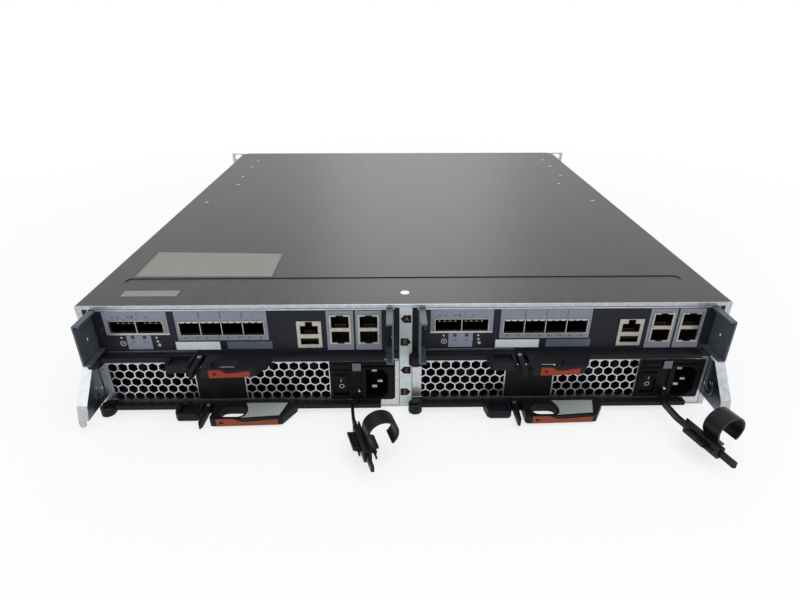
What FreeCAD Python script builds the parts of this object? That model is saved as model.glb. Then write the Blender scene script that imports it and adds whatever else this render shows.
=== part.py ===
import FreeCAD, Part
import math
import os
import re
import Sketcher

# Disk shelf enclosure: a two-unit, 19-inch rack enclosure. Seen from its rear, two controllers lie over two
# power supplies, side by side, and twelve disk carriers slide into its front.
# +X is to the right seen from the rear, +Y runs from the rear to the disk carriers, +Z is up.
# The origin is the centre of the bottom face. Millimetres and degrees.

# Driving sizes. Every other size in the model is worked out from these.
SIZES = {
    # chassis
    "body_width": 447.0,
    "body_tall": 85.5,
    "body_depth": 484.0,
    "chassis_wall": 1.2,
    "flange_width": 4.2,
    "cage_depth": 179.0,
    "cover_lip": 2.4,
    "bead_width": 9.0,
    "bead_sink": 0.6,
    "bead_inset": 17.0,
    "bead_from_rear": 36.5,
    "cover_corner": 6.0,
    "post_width": 8.8,
    "shelf_level": 40.9,
    "shelf_lip": 7.0,
    "fit_gap": 0.4,
    # rack ears
    "ear_wall": 1.6,
    "ear_span": 482.0,
    "ear_leg": 42.0,
    "ear_hole_span": 465.1,
    "ear_hole_rise": 76.2,
    "ear_slot_width": 6.8,
    "ear_slot_length": 10.3,
    # rear side plates
    "plate_low": 10.4,
    "plate_high": 41.2,
    "plate_top_reach": 6.0,
    "plate_knee": 20.8,
    "plate_knee_reach": 24.0,
    "plate_reach": 27.0,
    "plate_fold": 1.6,
    "plate_flange": 7.2,
    "plate_foot": 4.6,
    "plate_tip_inset": 3.0,
    "plate_tip_round": 2.0,
    # midplane
    "board_wall": 2.4,
    "board_margin": 4.0,
    "board_slot_wide": 46.0,
    "board_slot_tall": 7.0,
    "board_slot_rise": 3.0,
    "drive_socket_wide": 44.0,
    "drive_socket_deep": 4.0,
    "drive_socket_tall": 8.0,
    "module_socket_wide": 60.0,
    "module_socket_deep": 8.0,
    "module_socket_tall": 9.0,
    "power_socket_low": 10.0,
    "control_socket_rise": 6.0,
    # modules
    "module_back_gap": 4.6,
    "module_wall": 1.0,
    "face_wall": 1.2,
    "face_lip": 48.0,
    "face_lip_reach": 1.0,
    "bracket_reach": 22.0,
    "bracket_low": 51.5,
    "bracket_inset": 3.6,
    "bracket_fold": 5.0,
    "bracket_return": 1.6,
    # controller sockets
    "cage_proud": 0.8,
    "cage_wall": 0.6,
    "sas_left": -91.5,
    "sas_low": 65.0,
    "sas_wide": 18.0,
    "sas_tall": 9.2,
    "sas_deep": 24.0,
    "sfp_left": -43.9,
    "sfp_low": 63.0,
    "sfp_wide": 14.0,
    "sfp_tall": 10.2,
    "sfp_deep": 44.0,
    "jack_wide": 12.3,
    "jack_tall": 9.8,
    "jack_deep": 13.0,
    "jack_rim": 0.4,
    "jack_key": 5.0,
    "stack_key_tall": 0.9,
    "console_key_tall": 3.2,
    "console_left": 36.4,
    "console_right": 53.4,
    "console_low": 52.3,
    "console_high": 73.4,
    "stack_left": 59.0,
    "stack_pitch": 19.7,
    "stack_wide": 14.8,
    "stack_low": 55.0,
    "stack_high": 78.2,
    "usb_wide": 12.6,
    "usb_tall": 5.0,
    "usb_rise": 2.7,
    "socket_block_deep": 16.0,
    # controller board
    "main_board_wall": 1.6,
    "main_board_rise": 5.0,
    "board_setback": 1.0,
    "edge_wide": 60.0,
    "edge_reach": 4.0,
    "sink_wide": 60.0,
    "sink_deep": 70.0,
    "sink_tall": 20.0,
    "sink_fin_pitch": 6.0,
    "sink_base": 4.0,
    "fin_thick": 1.2,
    "memory_left": 30.0,
    "memory_thick": 1.6,
    "memory_long": 133.0,
    "memory_tall": 28.0,
    "memory_pitch": 9.0,
    # cam levers
    "lever_tall": 6.2,
    "lever_gap": 1.5,
    "lever_bar": 5.5,
    "lever_bar_tall": 3.4,
    "lever_power_level": 1.3,
    "lever_control_level": 42.3,
    "lever_pivot_inset": 2.2,
    "lever_pivot_depth": 6.5,
    "lever_pivot_pin": 2.0,
    "lever_pivot_eye": 5.0,
    "pin_fit": 0.05,
    "pivot_tab": 1.0,
    "pivot_head": 2.8,
    "lever_power_end": 93.8,
    "lever_control_end": 96.8,
    "grip_left": -27.0,
    "grip_power_right": 24.0,
    "grip_control_right": 9.0,
    "grip_taper": 8.5,
    "grip_slant": 1.6,
    "grip_corner": 2.5,
    "grip_reach": 22.8,
    "grip_hole_x": -12.2,
    "grip_hole_wide": 18.6,
    "grip_hole_deep": 11.0,
    "latch_box_left": -53.0,
    "latch_box_right": -35.6,
    "latch_box_reach": 16.5,
    "latch_box_taper": 1.5,
    "latch_box_corner": 2.0,
    "latch_pin_depth": 4.2,
    "latch_clear": 1.2,
    "latch_pocket_wall": 1.6,
    "latch_pin_drop": 0.6,
    "latch_lift": 0.3,
    "latch_back": 2.2,
    "recess_wall": 2.0,
    "recess_deep": 2.4,
    "latch_floor": 1.2,
    "latch_pin": 1.1,
    "latch_width": 4.0,
    "latch_reach": 27.2,
    "latch_x": -32.0,
    # power supply face
    "hex_pitch": 7.2,
    "hex_flats": 6.3,
    "hex_first_row": 11.4,
    "hex_left_edge": -100.4,
    "hex_right_edge": -3.8,
    "entry_left": 57.2,
    "entry_right": 104.2,
    "entry_low": 8.4,
    "entry_high": 40.1,
    "entry_proud": 1.2,
    "entry_deep": 22.0,
    "entry_flange": 1.0,
    "rocker_x": 65.2,
    "rocker_level": 21.4,
    "rocker_wide": 10.4,
    "rocker_tall": 18.2,
    "rocker_gap": 0.35,
    "rocker_pivot_depth": 2.2,
    "rocker_high_face": 3.4,
    "rocker_bend": 0.9,
    "rocker_low_face": 0.2,
    "rocker_well_back": 4.0,
    "inlet_x": 91.2,
    "inlet_level": 22.4,
    "inlet_wide": 16.0,
    "inlet_tall": 24.4,
    "inlet_deep": 16.0,
    "inlet_corner": 4.2,
    "inlet_rim": 3.6,
    "inlet_proud": 2.4,
    "blade_start": 3.0,
    "inlet_pin_wide": 4.0,
    "inlet_pin_tall": 2.0,
    "inlet_pin_pitch": 7.0,
    "inlet_pin_shift": 2.0,
    # cord retainers
    "strap_x": 78.0,
    "strap_level": 12.0,
    "strap_thick": 2.2,
    "strap_tall": 4.6,
    "strap_bow_x": 73.4,
    "strap_bow_y": 14.0,
    "strap_knee_x": 75.4,
    "strap_knee_y": 31.0,
    "strap_angle": 17.4,
    "strap_run": 48.5,
    "clip_along": 21.0,
    "clip_half": 11.0,
    "clip_half_long": 9.0,
    "clip_tall": 7.8,
    "clip_foot": 2.6,
    "finger_inset": 2.0,
    "finger_thick": 1.6,
    "finger_long": 4.0,
    "finger_tall": 2.4,
    "clip_slot_gap": 0.4,
    "ring_outer": 12.5,
    "ring_inner": 10.3,
    "ring_x": 12.0,
    "ring_rise": 10.5,
    "ring_long": 14.0,
    # fans
    "fan_frame": 36.0,
    "fan_deep": 28.0,
    "fan_bore": 16.8,
    "fan_hub": 7.6,
    "fan_tip": 16.0,
    "fan_inset": 9.0,
    "fan_arm": 2.0,
    "rotor_inset": 3.0,
    "hub_extra": 4.0,
    "fan_left_x": -65.6,
    "fan_right_x": 28.4,
    "blade_thick": 1.2,
    "blade_sweep": 5.0,
    "blade_deep": 16.0,
    # disk carriers
    "divider_wall": 1.6,
    "cage_side_wall": 1.0,
    "ledge_wall": 0.8,
    "ledge_reach": 2.4,
    "carrier_gap": 0.35,
    "carrier_side_gap": 0.4,
    "carrier_depth": 172.0,
    "carrier_rail": 2.6,
    "bezel_deep": 9.0,
    "bezel_proud": 3.0,
    "disk_wide": 101.6,
    "disk_long": 147.0,
    "handle_wide": 84.0,
    "handle_tall": 15.0,
    "handle_deep": 5.0,
    "handle_gap": 0.3,
    "handle_proud": 2.2,
    "rail_inset": 2.0,
    "disk_gap": 0.2,
    "disk_back_gap": 0.5,
}
ROWS = 3
COLUMNS = 4
BLADES = 5
HUB_SIDES = 12
BORE_SIDES = 24
SINK_FINS = 10
MEMORY_STICKS = 4

doc = FreeCAD.newDocument("disk_shelf_enclosure")
sizes = doc.addObject("Spreadsheet::Sheet", "sizes")
for line, (name, value) in enumerate(SIZES.items(), start=1):
    sizes.set("A%d" % line, name)
    sizes.set("B%d" % line, repr(value))
    sizes.setAlias("B%d" % line, name)
doc.recompute()


def bound(text):
    """The expression with every size written as a cell of the sheet."""
    def cell(found):
        return "sizes." + found.group(0) if found.group(0) in SIZES else found.group(0)
    return re.sub(r"[a-z_]+", cell, str(text))


def bind(thing, prop, text):
    thing.setExpression(prop, bound(text))


# Places that several pieces share, as expressions of the sizes above.
HALF = "(body_width / 2)"
REAR = "(-body_depth / 2)"
FRONT = "(body_depth / 2)"
SEAM = "(body_depth / 2 - cage_depth)"
ROOF = "(body_tall - chassis_wall)"
MODULE_HALF = "((body_width / 2 - flange_width - post_width / 2 - 2 * fit_gap) / 2)"
MODULE_X = "(post_width / 2 + fit_gap + %s)" % MODULE_HALF
CONTROL_LOW = "(shelf_level + chassis_wall + fit_gap)"
CONTROL_HIGH = "(body_tall - cover_lip - fit_gap)"
POWER_LOW = "(chassis_wall + fit_gap)"
POWER_HIGH = "(shelf_level - fit_gap)"
MODULE_DEPTH = "(body_depth - cage_depth - board_wall - module_socket_deep - module_back_gap)"
PIVOT_X = "(-%s + lever_pivot_inset)" % MODULE_HALF

bodies = []


def new_body(label, x="0", y="0", z="0"):
    """A sub-part, placed where its own origin lies on the enclosure."""
    body = doc.addObject("PartDesign::Body", label)
    body.Label = label
    body.AllowCompound = True
    for axis, place in zip("xyz", (x, y, z)):
        bind(body, "Placement.Base." + axis, place)
    bodies.append(body)
    return body


def module_body(label, side, z="0"):
    """A sub-part of a module: its origin is the middle of the module's rear face, at the floor's height."""
    return new_body(label, "%d * %s" % (side, MODULE_X), REAR, z)


def sketch(body, plane, low, high, loops):
    """A sketch across one axis, on the plane where a feature from low to high along that axis starts.

    A loop is a list of corners, or a circle given as its centre and radius. Every place is an expression.
    """
    made = body.newObject("Sketcher::SketchObject", body.Name + "_sketch")
    origin_plane = [o for o in body.Origin.OriginFeatures if o.Role == plane + "_Plane"][0]
    made.AttachmentSupport = [(origin_plane, "")]
    made.MapMode = "FlatFace"
    # the XZ plane faces -Y, so a feature on it starts at its high end
    bind(made, "AttachmentOffset.Base.z", "-(%s)" % high if plane == "XZ" else low)
    for loop in loops:
        first = made.GeometryCount
        if isinstance(loop[0], str):
            circle = Part.Circle(FreeCAD.Vector(0, 0, 0), FreeCAD.Vector(0, 0, 1), 1)
            made.addGeometry(circle, False)
            places = [("DistanceX", -1, 1, first, 3), ("DistanceY", -1, 1, first, 3)]
            for (kind, *ends), text in zip(places, loop[:2]):
                number = made.addConstraint(Sketcher.Constraint(kind, *ends, 0.5))
                bind(made, "Constraints[%d]" % number, text)
            number = made.addConstraint(Sketcher.Constraint("Radius", first, 1.0))
            bind(made, "Constraints[%d]" % number, loop[2])
            continue
        count = len(loop)
        turn = 2 * math.pi / count
        corners = [FreeCAD.Vector(math.cos(turn * i), math.sin(turn * i), 0) for i in range(count)]
        for i in range(count):
            made.addGeometry(Part.LineSegment(corners[i], corners[(i + 1) % count]), False)
        for i in range(count):
            after = first + (i + 1) % count
            made.addConstraint(Sketcher.Constraint("Coincident", first + i, 2, after, 1))
        for i, place in enumerate(loop):
            for kind, text in zip(("DistanceX", "DistanceY"), place):
                number = made.addConstraint(Sketcher.Constraint(kind, -1, 1, first + i, 1, 0.5))
                bind(made, "Constraints[%d]" % number, text)
    return made


def extrude(kind, body, plane, low, high, loops):
    profile = sketch(body, plane, low, high, loops)
    feature = body.newObject("PartDesign::" + kind, "%s_%s" % (body.Name, kind.lower()))
    feature.Profile = profile
    bind(feature, "Length", "(%s) - (%s)" % (high, low))
    feature.Reversed = kind == "Pocket"
    feature.Refine = False
    return feature


def pad(body, plane, low, high, *loops):
    return extrude("Pad", body, plane, low, high, loops)


def pocket(body, plane, low, high, *loops):
    return extrude("Pocket", body, plane, low, high, loops)


def oblong(left, right, low, high):
    """The four corners of a rectangle."""
    return [(left, low), (right, low), (right, high), (left, high)]


def many_sided(x, y, radius, sides):
    """The corners of a regular outline round a centre. It stands for a circle where few faces are wanted."""
    turns = [360 * (corner + 0.5) / sides for corner in range(sides)]
    return [("%s + %s * cos(%g)" % (x, radius, turn), "%s + %s * sin(%g)" % (y, radius, turn))
            for turn in turns]


def soft_oblong(left, right, low, high, radius):
    """An oblong with each corner turned in three short sides, for a small rounded cut-out."""
    centres = [(right, -1, high, -1), (left, 1, high, -1), (left, 1, low, 1), (right, -1, low, 1)]
    corners = []
    for quarter, (x, across, y, up) in enumerate(centres):
        for turn in range(90 * quarter, 90 * quarter + 91, 30):
            corners.append(("%s + %d * %s + %s * cos(%d)" % (x, across, radius, radius, turn),
                            "%s + %d * %s + %s * sin(%d)" % (y, up, radius, radius, turn)))
    return corners


def box(body, x, y, z):
    """A pad from three pairs of limits."""
    return pad(body, "XY", z[0], z[1], oblong(x[0], x[1], y[0], y[1]))


def hollow(body, x, y, z):
    """A pocket from three pairs of limits."""
    return pocket(body, "XY", z[0], z[1], oblong(x[0], x[1], y[0], y[1]))


def round_edges(body, radius, along, test):
    """Fillets the straight edges that run along an axis and whose middle passes the test."""
    doc.recompute()
    base = body.Tip
    axis = FreeCAD.Vector(along == "X", along == "Y", along == "Z")
    names = []
    for i, edge in enumerate(base.Shape.Edges, start=1):
        if edge.Curve.TypeId != "Part::GeomLine":
            continue
        if abs(edge.Curve.Direction.dot(axis)) > 0.999 and test(edge.CenterOfMass):
            names.append("Edge%d" % i)
    fillet = body.newObject("PartDesign::Fillet", body.Name + "_fillet")
    fillet.Base = (base, names)
    bind(fillet, "Radius", radius)
    body.Tip = fillet
    return fillet


def repeat(body, feature, axis, step, count):
    """Copies a feature along an axis of its body."""
    line = [o for o in body.Origin.OriginFeatures if o.Role == axis + "_Axis"][0]
    pattern = body.newObject("PartDesign::LinearPattern", body.Name + "_row")
    pattern.Originals = [feature]
    pattern.Direction = (line, [""])
    bind(pattern, "Length", "(%s) * %d" % (step, count - 1))
    pattern.Occurrences = count
    pattern.Refine = False
    body.Tip = pattern
    return pattern


def read(text):
    """The number that a size has in the sheet."""
    return float(sizes.get(text))


# ------------------------------------------------------------------ chassis

# The tray is one folded sheet: floor, two sides and a narrow flange down each side of the rear opening.
tray = new_body("chassis_tray")
pad(tray, "XZ", REAR, FRONT, [
    ("-" + HALF, "0"), (HALF, "0"), (HALF, ROOF), (HALF + " - chassis_wall", ROOF),
    (HALF + " - chassis_wall", "chassis_wall"), ("-%s + chassis_wall" % HALF, "chassis_wall"),
    ("-%s + chassis_wall" % HALF, ROOF), ("-" + HALF, ROOF)])
for side in (-1, 1):
    edge = "%d * (%s - %s)"
    box(tray, (edge % (side, HALF, "chassis_wall"), edge % (side, HALF, "flange_width")),
        (REAR, REAR + " + chassis_wall"), ("chassis_wall", "body_tall - cover_lip"))

# The rear cover closes the module bays. Its rear edge turns down, and a long pressed bead stiffens it.
cover = new_body("rear_cover")
box(cover, ("-" + HALF, HALF), (REAR, SEAM), (ROOF, "body_tall"))
box(cover, ("-%s + chassis_wall" % HALF, HALF + " - chassis_wall"),
    (REAR, REAR + " + chassis_wall"), ("body_tall - cover_lip", ROOF))
bead_end = HALF + " - bead_inset"
hollow(cover, ("-(%s)" % bead_end, bead_end),
       (REAR + " + bead_from_rear", REAR + " + bead_from_rear + bead_width"),
       ("body_tall - bead_sink", "body_tall"))
bead_centre = -read("body_depth") / 2 + read("bead_from_rear") + read("bead_width") / 2
bead_floor = read("body_tall") - read("bead_sink")
round_edges(cover, "bead_width * 0.45", "Z",
            lambda p: abs(p.y - bead_centre) < read("bead_width") and p.z > bead_floor)

# The drive cage is the front of the enclosure: a roof, two sides, three dividers, and ledges between rows.
CAGE_INSIDE = "(body_width - 2 * chassis_wall - 2 * cage_side_wall)"
BAY_WIDE = "((%s - %d * divider_wall) / %d)" % (CAGE_INSIDE, COLUMNS - 1, COLUMNS)
BAY_TALL = "((%s - chassis_wall) / %d)" % (ROOF, ROWS)
CAGE_LEFT = "(-body_width / 2 + chassis_wall + cage_side_wall)"
cage = new_body("drive_cage")
pad(cage, "XY", ROOF, "body_tall", [
    ("-" + HALF, SEAM), (HALF, SEAM), (HALF, FRONT + " - cover_corner"), (HALF + " - cover_corner", FRONT),
    ("-%s + cover_corner" % HALF, FRONT), ("-" + HALF, FRONT + " - cover_corner")])
for side in (-1, 1):
    wall = "%d * (%s - chassis_wall%s)"
    box(cage, (wall % (side, HALF, ""), wall % (side, HALF, " - cage_side_wall")),
        (SEAM, FRONT), ("chassis_wall", ROOF))
for column in range(1, COLUMNS):
    left = "%s + %d * %s + %d * divider_wall" % (CAGE_LEFT, column, BAY_WIDE, column - 1)
    box(cage, (left, left + " + divider_wall"), (SEAM, FRONT), ("chassis_wall", ROOF))
for column in range(COLUMNS):
    bay_left = "%s + %d * (%s + divider_wall)" % (CAGE_LEFT, column, BAY_WIDE)
    bay_right = "%s + %s" % (bay_left, BAY_WIDE)
    for row in range(1, ROWS):
        level = "chassis_wall + %d * %s" % (row, BAY_TALL)
        span = ("%s - ledge_wall / 2" % level, "%s + ledge_wall / 2" % level)
        box(cage, (bay_left, bay_left + " + ledge_reach"), (SEAM, FRONT + " - bezel_deep"), span)
        box(cage, (bay_right + " - ledge_reach", bay_right), (SEAM, FRONT + " - bezel_deep"), span)

# The centre post is a folded channel between the left and the right modules. Its web shows at the rear.
post = new_body("centre_post")
half_post = "post_width / 2"
inner_post = "(post_width / 2 - chassis_wall)"
post_end = REAR + " + " + MODULE_DEPTH
pad(post, "XY", "chassis_wall", "body_tall - cover_lip", [
    ("-" + half_post, REAR), (half_post, REAR), (half_post, post_end), (inner_post, post_end),
    (inner_post, REAR + " + chassis_wall"), ("-" + inner_post, REAR + " + chassis_wall"),
    ("-" + inner_post, post_end), ("-" + half_post, post_end)])

# Two shelves carry the controllers over the power supplies. Each turns up along the side of the chassis.
shelves = new_body("module_shelves")
for side in (-1, 1):
    inner = "%d * post_width / 2" % side
    outer = "%d * (%s - chassis_wall)" % (side, HALF)
    fold = "%d * (%s - 2 * chassis_wall)" % (side, HALF)
    pad(shelves, "XZ", REAR + " + chassis_wall", post_end, [
        (inner, "shelf_level"), (outer, "shelf_level"), (outer, "shelf_level + shelf_lip"),
        (fold, "shelf_level + shelf_lip"), (fold, "shelf_level + chassis_wall"),
        (inner, "shelf_level + chassis_wall")])

# The midplane stands against the back of the drive cage. It has a socket for every carrier and module.
midplane = new_body("midplane_board")
board_back = SEAM + " - board_wall"
box(midplane, ("-%s + chassis_wall + board_margin" % HALF, "%s - chassis_wall - board_margin" % HALF),
    (board_back, SEAM), ("chassis_wall", ROOF + " - board_margin"))
for column in range(COLUMNS):
    middle = "(%s + %s / 2 + %d * (%s + divider_wall))" % (CAGE_LEFT, BAY_WIDE, column, BAY_WIDE)
    slot = (middle + " - board_slot_wide / 2", middle + " + board_slot_wide / 2")
    for row in range(ROWS):
        level = "(chassis_wall + (%d + 0.5) * %s)" % (row, BAY_TALL)
        hollow(midplane, slot, (board_back, SEAM),
               (level + " + board_slot_rise", level + " + board_slot_rise + board_slot_tall"))
        box(midplane, (middle + " - drive_socket_wide / 2", middle + " + drive_socket_wide / 2"),
            (SEAM, SEAM + " + drive_socket_deep"), (level + " - drive_socket_tall", level))
for side in (-1, 1):
    for level in ("power_socket_low", "shelf_level + control_socket_rise"):
        middle = "%d * %s" % (side, MODULE_X)
        box(midplane, (middle + " - module_socket_wide / 2", middle + " + module_socket_wide / 2"),
            (board_back + " - module_socket_deep", board_back), (level, level + " + module_socket_tall"))

# Rack ears: an angle on each side of the front, with the two slots that take the rack screws.
for name, side in (("left", -1), ("right", 1)):
    ear = new_body("rack_ear_" + name)
    wall = "%d * %s" % (side, HALF)
    skin = "%d * (%s + chassis_wall)" % (side, HALF)
    tip = "%d * ear_span / 2" % side
    pad(ear, "XY", "0", "body_tall", [
        (wall, FRONT + " - ear_leg"), (skin, FRONT + " - ear_leg"), (skin, FRONT + " - ear_wall"),
        (tip, FRONT + " - ear_wall"), (tip, FRONT), (wall, FRONT)])
    for end in (-1, 1):
        x = "(%d * ear_hole_span / 2)" % side
        level = "(body_tall / 2 + %d * ear_hole_rise / 2)" % end
        pocket(ear, "XZ", FRONT + " - ear_wall", FRONT, oblong(
            x + " - ear_slot_length / 2", x + " + ear_slot_length / 2",
            level + " - ear_slot_width / 2", level + " + ear_slot_width / 2"))
    hole_x = side * read("ear_hole_span") / 2
    round_edges(ear, "ear_slot_width * 0.499", "Y",
                lambda p: abs(p.x - hole_x) < read("ear_slot_length") / 2 + 0.1)
    front = read("body_depth") / 2
    leg_back = front - read("ear_leg")
    round_edges(ear, "ear_leg / 8", "X", lambda p: p.y < leg_back + 1)

# Rear side plates: a blade each side of the power supplies, with its bent rear edge turned outwards. The
# edge ends in a tip, which stands far enough out to let a supply's lever pass when the supply slides out.
PLATE_EDGE = [("-plate_top_reach", "plate_high"), ("-plate_knee_reach", "plate_knee"),
              ("-plate_reach", "plate_low")]
for name, side in (("left", -1), ("right", 1)):
    plate = new_body("side_plate_" + name, y=REAR)
    inner, skin, rim, tip = ["%d * (%s - flange_width + %s)" % (side, HALF, out)
                             for out in ("0", "chassis_wall", "plate_flange", "plate_tip_inset")]
    low, high = (inner, skin) if side > 0 else (skin, inner)
    pad(plate, "YZ", low, high, [("0", "plate_low"), ("0", "plate_high")] + PLATE_EDGE)
    low, high = (inner, rim) if side > 0 else (rim, inner)
    pad(plate, "YZ", low, high, PLATE_EDGE + [(y + " + plate_fold", z) for y, z in reversed(PLATE_EDGE)])
    box(plate, (tip, rim), ("-plate_reach", "-plate_reach + plate_fold"), ("plate_foot", "plate_low"))
    foot_level = read("plate_foot")
    round_edges(plate, "plate_tip_round", "Y", lambda p: abs(p.z - foot_level) < 0.1)
    foot = (inner, "%d * %s" % (side, HALF)) if side > 0 else ("%d * %s" % (side, HALF), inner)
    pad(plate, "YZ", foot[0], foot[1], oblong("-chassis_wall", "0", "plate_low", "plate_high"))

# ------------------------------------------------------------------ modules

SIDES = (("left", -1), ("right", 1))
HEX_ROWS = 5
HEX_COLUMNS = 8
HEX_ZONES = (("hex_left_edge", 0), ("hex_right_edge", 1))


def tube(body, low, high):
    """The folded case of a module: floor, lid and sides, open at both ends."""
    pad(body, "XZ", "face_wall", MODULE_DEPTH,
        oblong("-" + MODULE_HALF, MODULE_HALF, low, high),
        oblong("-%s + module_wall" % MODULE_HALF, MODULE_HALF + " - module_wall",
               low + " + module_wall", high + " - module_wall"))


def pivot(body, level):
    """The tab, pin and pin head that a cam lever turns on. The tab stands out of the module's face."""
    top = "%s + lever_tall + fit_gap" % level
    box(body, ("-" + MODULE_HALF, PIVOT_X + " + lever_pivot_eye"),
        ("-lever_pivot_depth - lever_pivot_eye", "0"), (top, top + " + pivot_tab"))
    pad(body, "XY", level, top, (PIVOT_X, "-lever_pivot_depth", "lever_pivot_pin"))
    pad(body, "XY", top + " + pivot_tab", top + " + 2 * pivot_tab",
        many_sided(PIVOT_X, "-lever_pivot_depth", "pivot_head", HUB_SIDES))


def cam_lever(label, side, level, end, grip_right):
    """A moulded bar along the foot of a module, with a pull grip and a pocket for its release latch."""
    lever = module_body(label, side)
    top = level + " + lever_tall"
    near = "-lever_gap"
    far = "-lever_gap - lever_bar"
    pad(lever, "XY", level, top, [
        (PIVOT_X, near), (end, near), (end, far), (grip_right + " + grip_taper", far),
        (grip_right, "-grip_reach + grip_slant"), ("grip_left", "-grip_reach"), ("grip_left", far + " - 1"),
        ("latch_box_right", far + " - 1"), ("latch_box_right", "-latch_box_reach + latch_box_corner"),
        ("latch_box_right - latch_box_corner", "-latch_box_reach"),
        ("latch_box_left + latch_box_corner", "-latch_box_reach"),
        ("latch_box_left", "-latch_box_reach + latch_box_corner"),
        ("latch_box_left - latch_box_taper", far), (PIVOT_X, far)])
    pad(lever, "XY", level, top, (PIVOT_X, "-lever_pivot_depth", "lever_pivot_eye"))
    reach = read("grip_reach")
    round_edges(lever, "grip_corner", "Z", lambda p: p.y < -reach + 2 * read("grip_slant"))
    pocket(lever, "XY", level, top, (PIVOT_X, "-lever_pivot_depth", "lever_pivot_pin + pin_fit"))
    # the bar is thinner than the grip and the box, and level with their top
    for left, right in ((PIVOT_X + " + lever_pivot_eye", "latch_box_left - latch_box_taper"),
                        (grip_right + " + grip_taper", end)):
        hollow(lever, (left, right), (far, near), (level, top + " - lever_bar_tall"))
    hole_y = "(-grip_reach / 2 - lever_gap * 2)"
    pocket(lever, "XY", level, top, soft_oblong(
        "grip_hole_x - grip_hole_wide / 2", "grip_hole_x + grip_hole_wide / 2",
        hole_y + " - grip_hole_deep / 2", hole_y + " + grip_hole_deep / 2", "grip_hole_deep * 0.45"))
    # the latch pocket is open upwards and rearwards, and its floor carries the latch's pin
    hollow(lever, ("latch_x - latch_width / 2 - latch_clear", "grip_left"),
           (far + " - latch_clear", near + " - latch_pocket_wall"), (level + " + latch_floor", top))
    pad(lever, "XY", level + " + latch_floor", top + " - latch_pin_drop",
        many_sided("latch_x", "-lever_gap - latch_pin_depth", "latch_pin", HUB_SIDES))
    # a recess in the box, as the moulding has
    hollow(lever, ("latch_box_left + recess_wall", "latch_box_right - recess_wall"),
           ("-latch_box_reach + recess_wall", far + " + recess_wall"), (top + " - recess_deep", top))
    return lever


def cam_latch(label, side, level):
    """The squeeze latch beside the grip: a thin finger on a pin in the lever's pocket."""
    latch = module_body(label, side)
    low = level + " + latch_floor + latch_lift"
    top = level + " + lever_tall"
    back = "-lever_gap - latch_back"
    pad(latch, "XY", low, top, [
        ("latch_x - latch_width / 2", back), ("latch_x + latch_width / 2", back),
        ("latch_x + latch_width / 2", "-lever_gap - lever_bar"), ("latch_x + 1.2", "-latch_reach + 2"),
        ("latch_x + 0.2", "-latch_reach"), ("latch_x - 0.8", "-latch_reach"),
        ("latch_x - 1.4", "-latch_reach + 2"), ("latch_x - latch_width / 2", "-lever_gap - lever_bar")])
    pocket(latch, "XY", low, top, ("latch_x", "-lever_gap - latch_pin_depth", "latch_pin + pin_fit"))
    return latch


def socket_block(body, left, right, low, high):
    """A die-cast or plated shell that stands in a window of the controller's face."""
    box(body, (left, right), ("-cage_proud", "socket_block_deep"), (low, high))


def jack_hole(body, middle, floor, key_tall, turned=1):
    """A keyed network socket: a square mouth, with a narrower step beyond it for the plug's catch.

    The step lies above the mouth, or below it in a socket that is turned over (-1).
    """
    half = "jack_wide / 2"
    key = "jack_key / 2"
    step = "%s + %d * (jack_tall - %s)" % (floor, turned, key_tall)
    end = "%s + %d * jack_tall" % (floor, turned)
    pocket(body, "XZ", "-cage_proud", "-cage_proud + jack_deep", [
        (middle + " - " + half, floor), (middle + " + " + half, floor), (middle + " + " + half, step),
        (middle + " + " + key, step), (middle + " + " + key, end), (middle + " - " + key, end),
        (middle + " - " + key, step), (middle + " - " + half, step)])


def hex_holes(label, side):
    """Six-sided prisms on a staggered grid, points up, which cut the holes of a power supply's face.

    Each zone ends straight on both sides, so every row has a part of a hole at one of its ends.
    """
    pitch = read("hex_pitch")
    flats = read("hex_flats")
    depth = read("face_wall")
    first_row = read("hex_first_row")
    row_rise = pitch * math.sqrt(3) / 2
    reach = flats / math.sqrt(3)
    wide = (HEX_COLUMNS - 0.5) * pitch + flats
    prisms = []
    for edge, parity in HEX_ZONES:
        left = read(edge)
        corner = FreeCAD.Vector(left, -2 * depth, first_row - pitch)
        zone = Part.makeBox(wide, 5 * depth, HEX_ROWS * pitch + pitch, corner)
        for row in range(HEX_ROWS):
            level = first_row + row * row_rise
            start = left + flats / 2 - (row + parity) % 2 * pitch / 2
            for x in (start + place * pitch for place in range(HEX_COLUMNS + 1)):
                ring = [FreeCAD.Vector(x + reach * math.sin(turn), -depth, level + reach * math.cos(turn))
                        for turn in (corner * math.pi / 3 for corner in range(7))]
                prism = Part.Face(Part.makePolygon(ring)).extrude(FreeCAD.Vector(0, 3 * depth, 0))
                prisms.append(prism.common(zone).Solids[0])
    holes = doc.addObject("Part::Feature", label)
    holes.Shape = Part.makeCompound(prisms)
    for axis, place in zip("xy", ("%d * %s" % (side, MODULE_X), REAR)):
        bind(holes, "Placement.Base." + axis, place)
    return holes


SAS_SPAN = "(2 * sas_wide + cage_wall)"
SFP_SPAN = "(4 * sfp_wide + 3 * cage_wall)"

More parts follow.
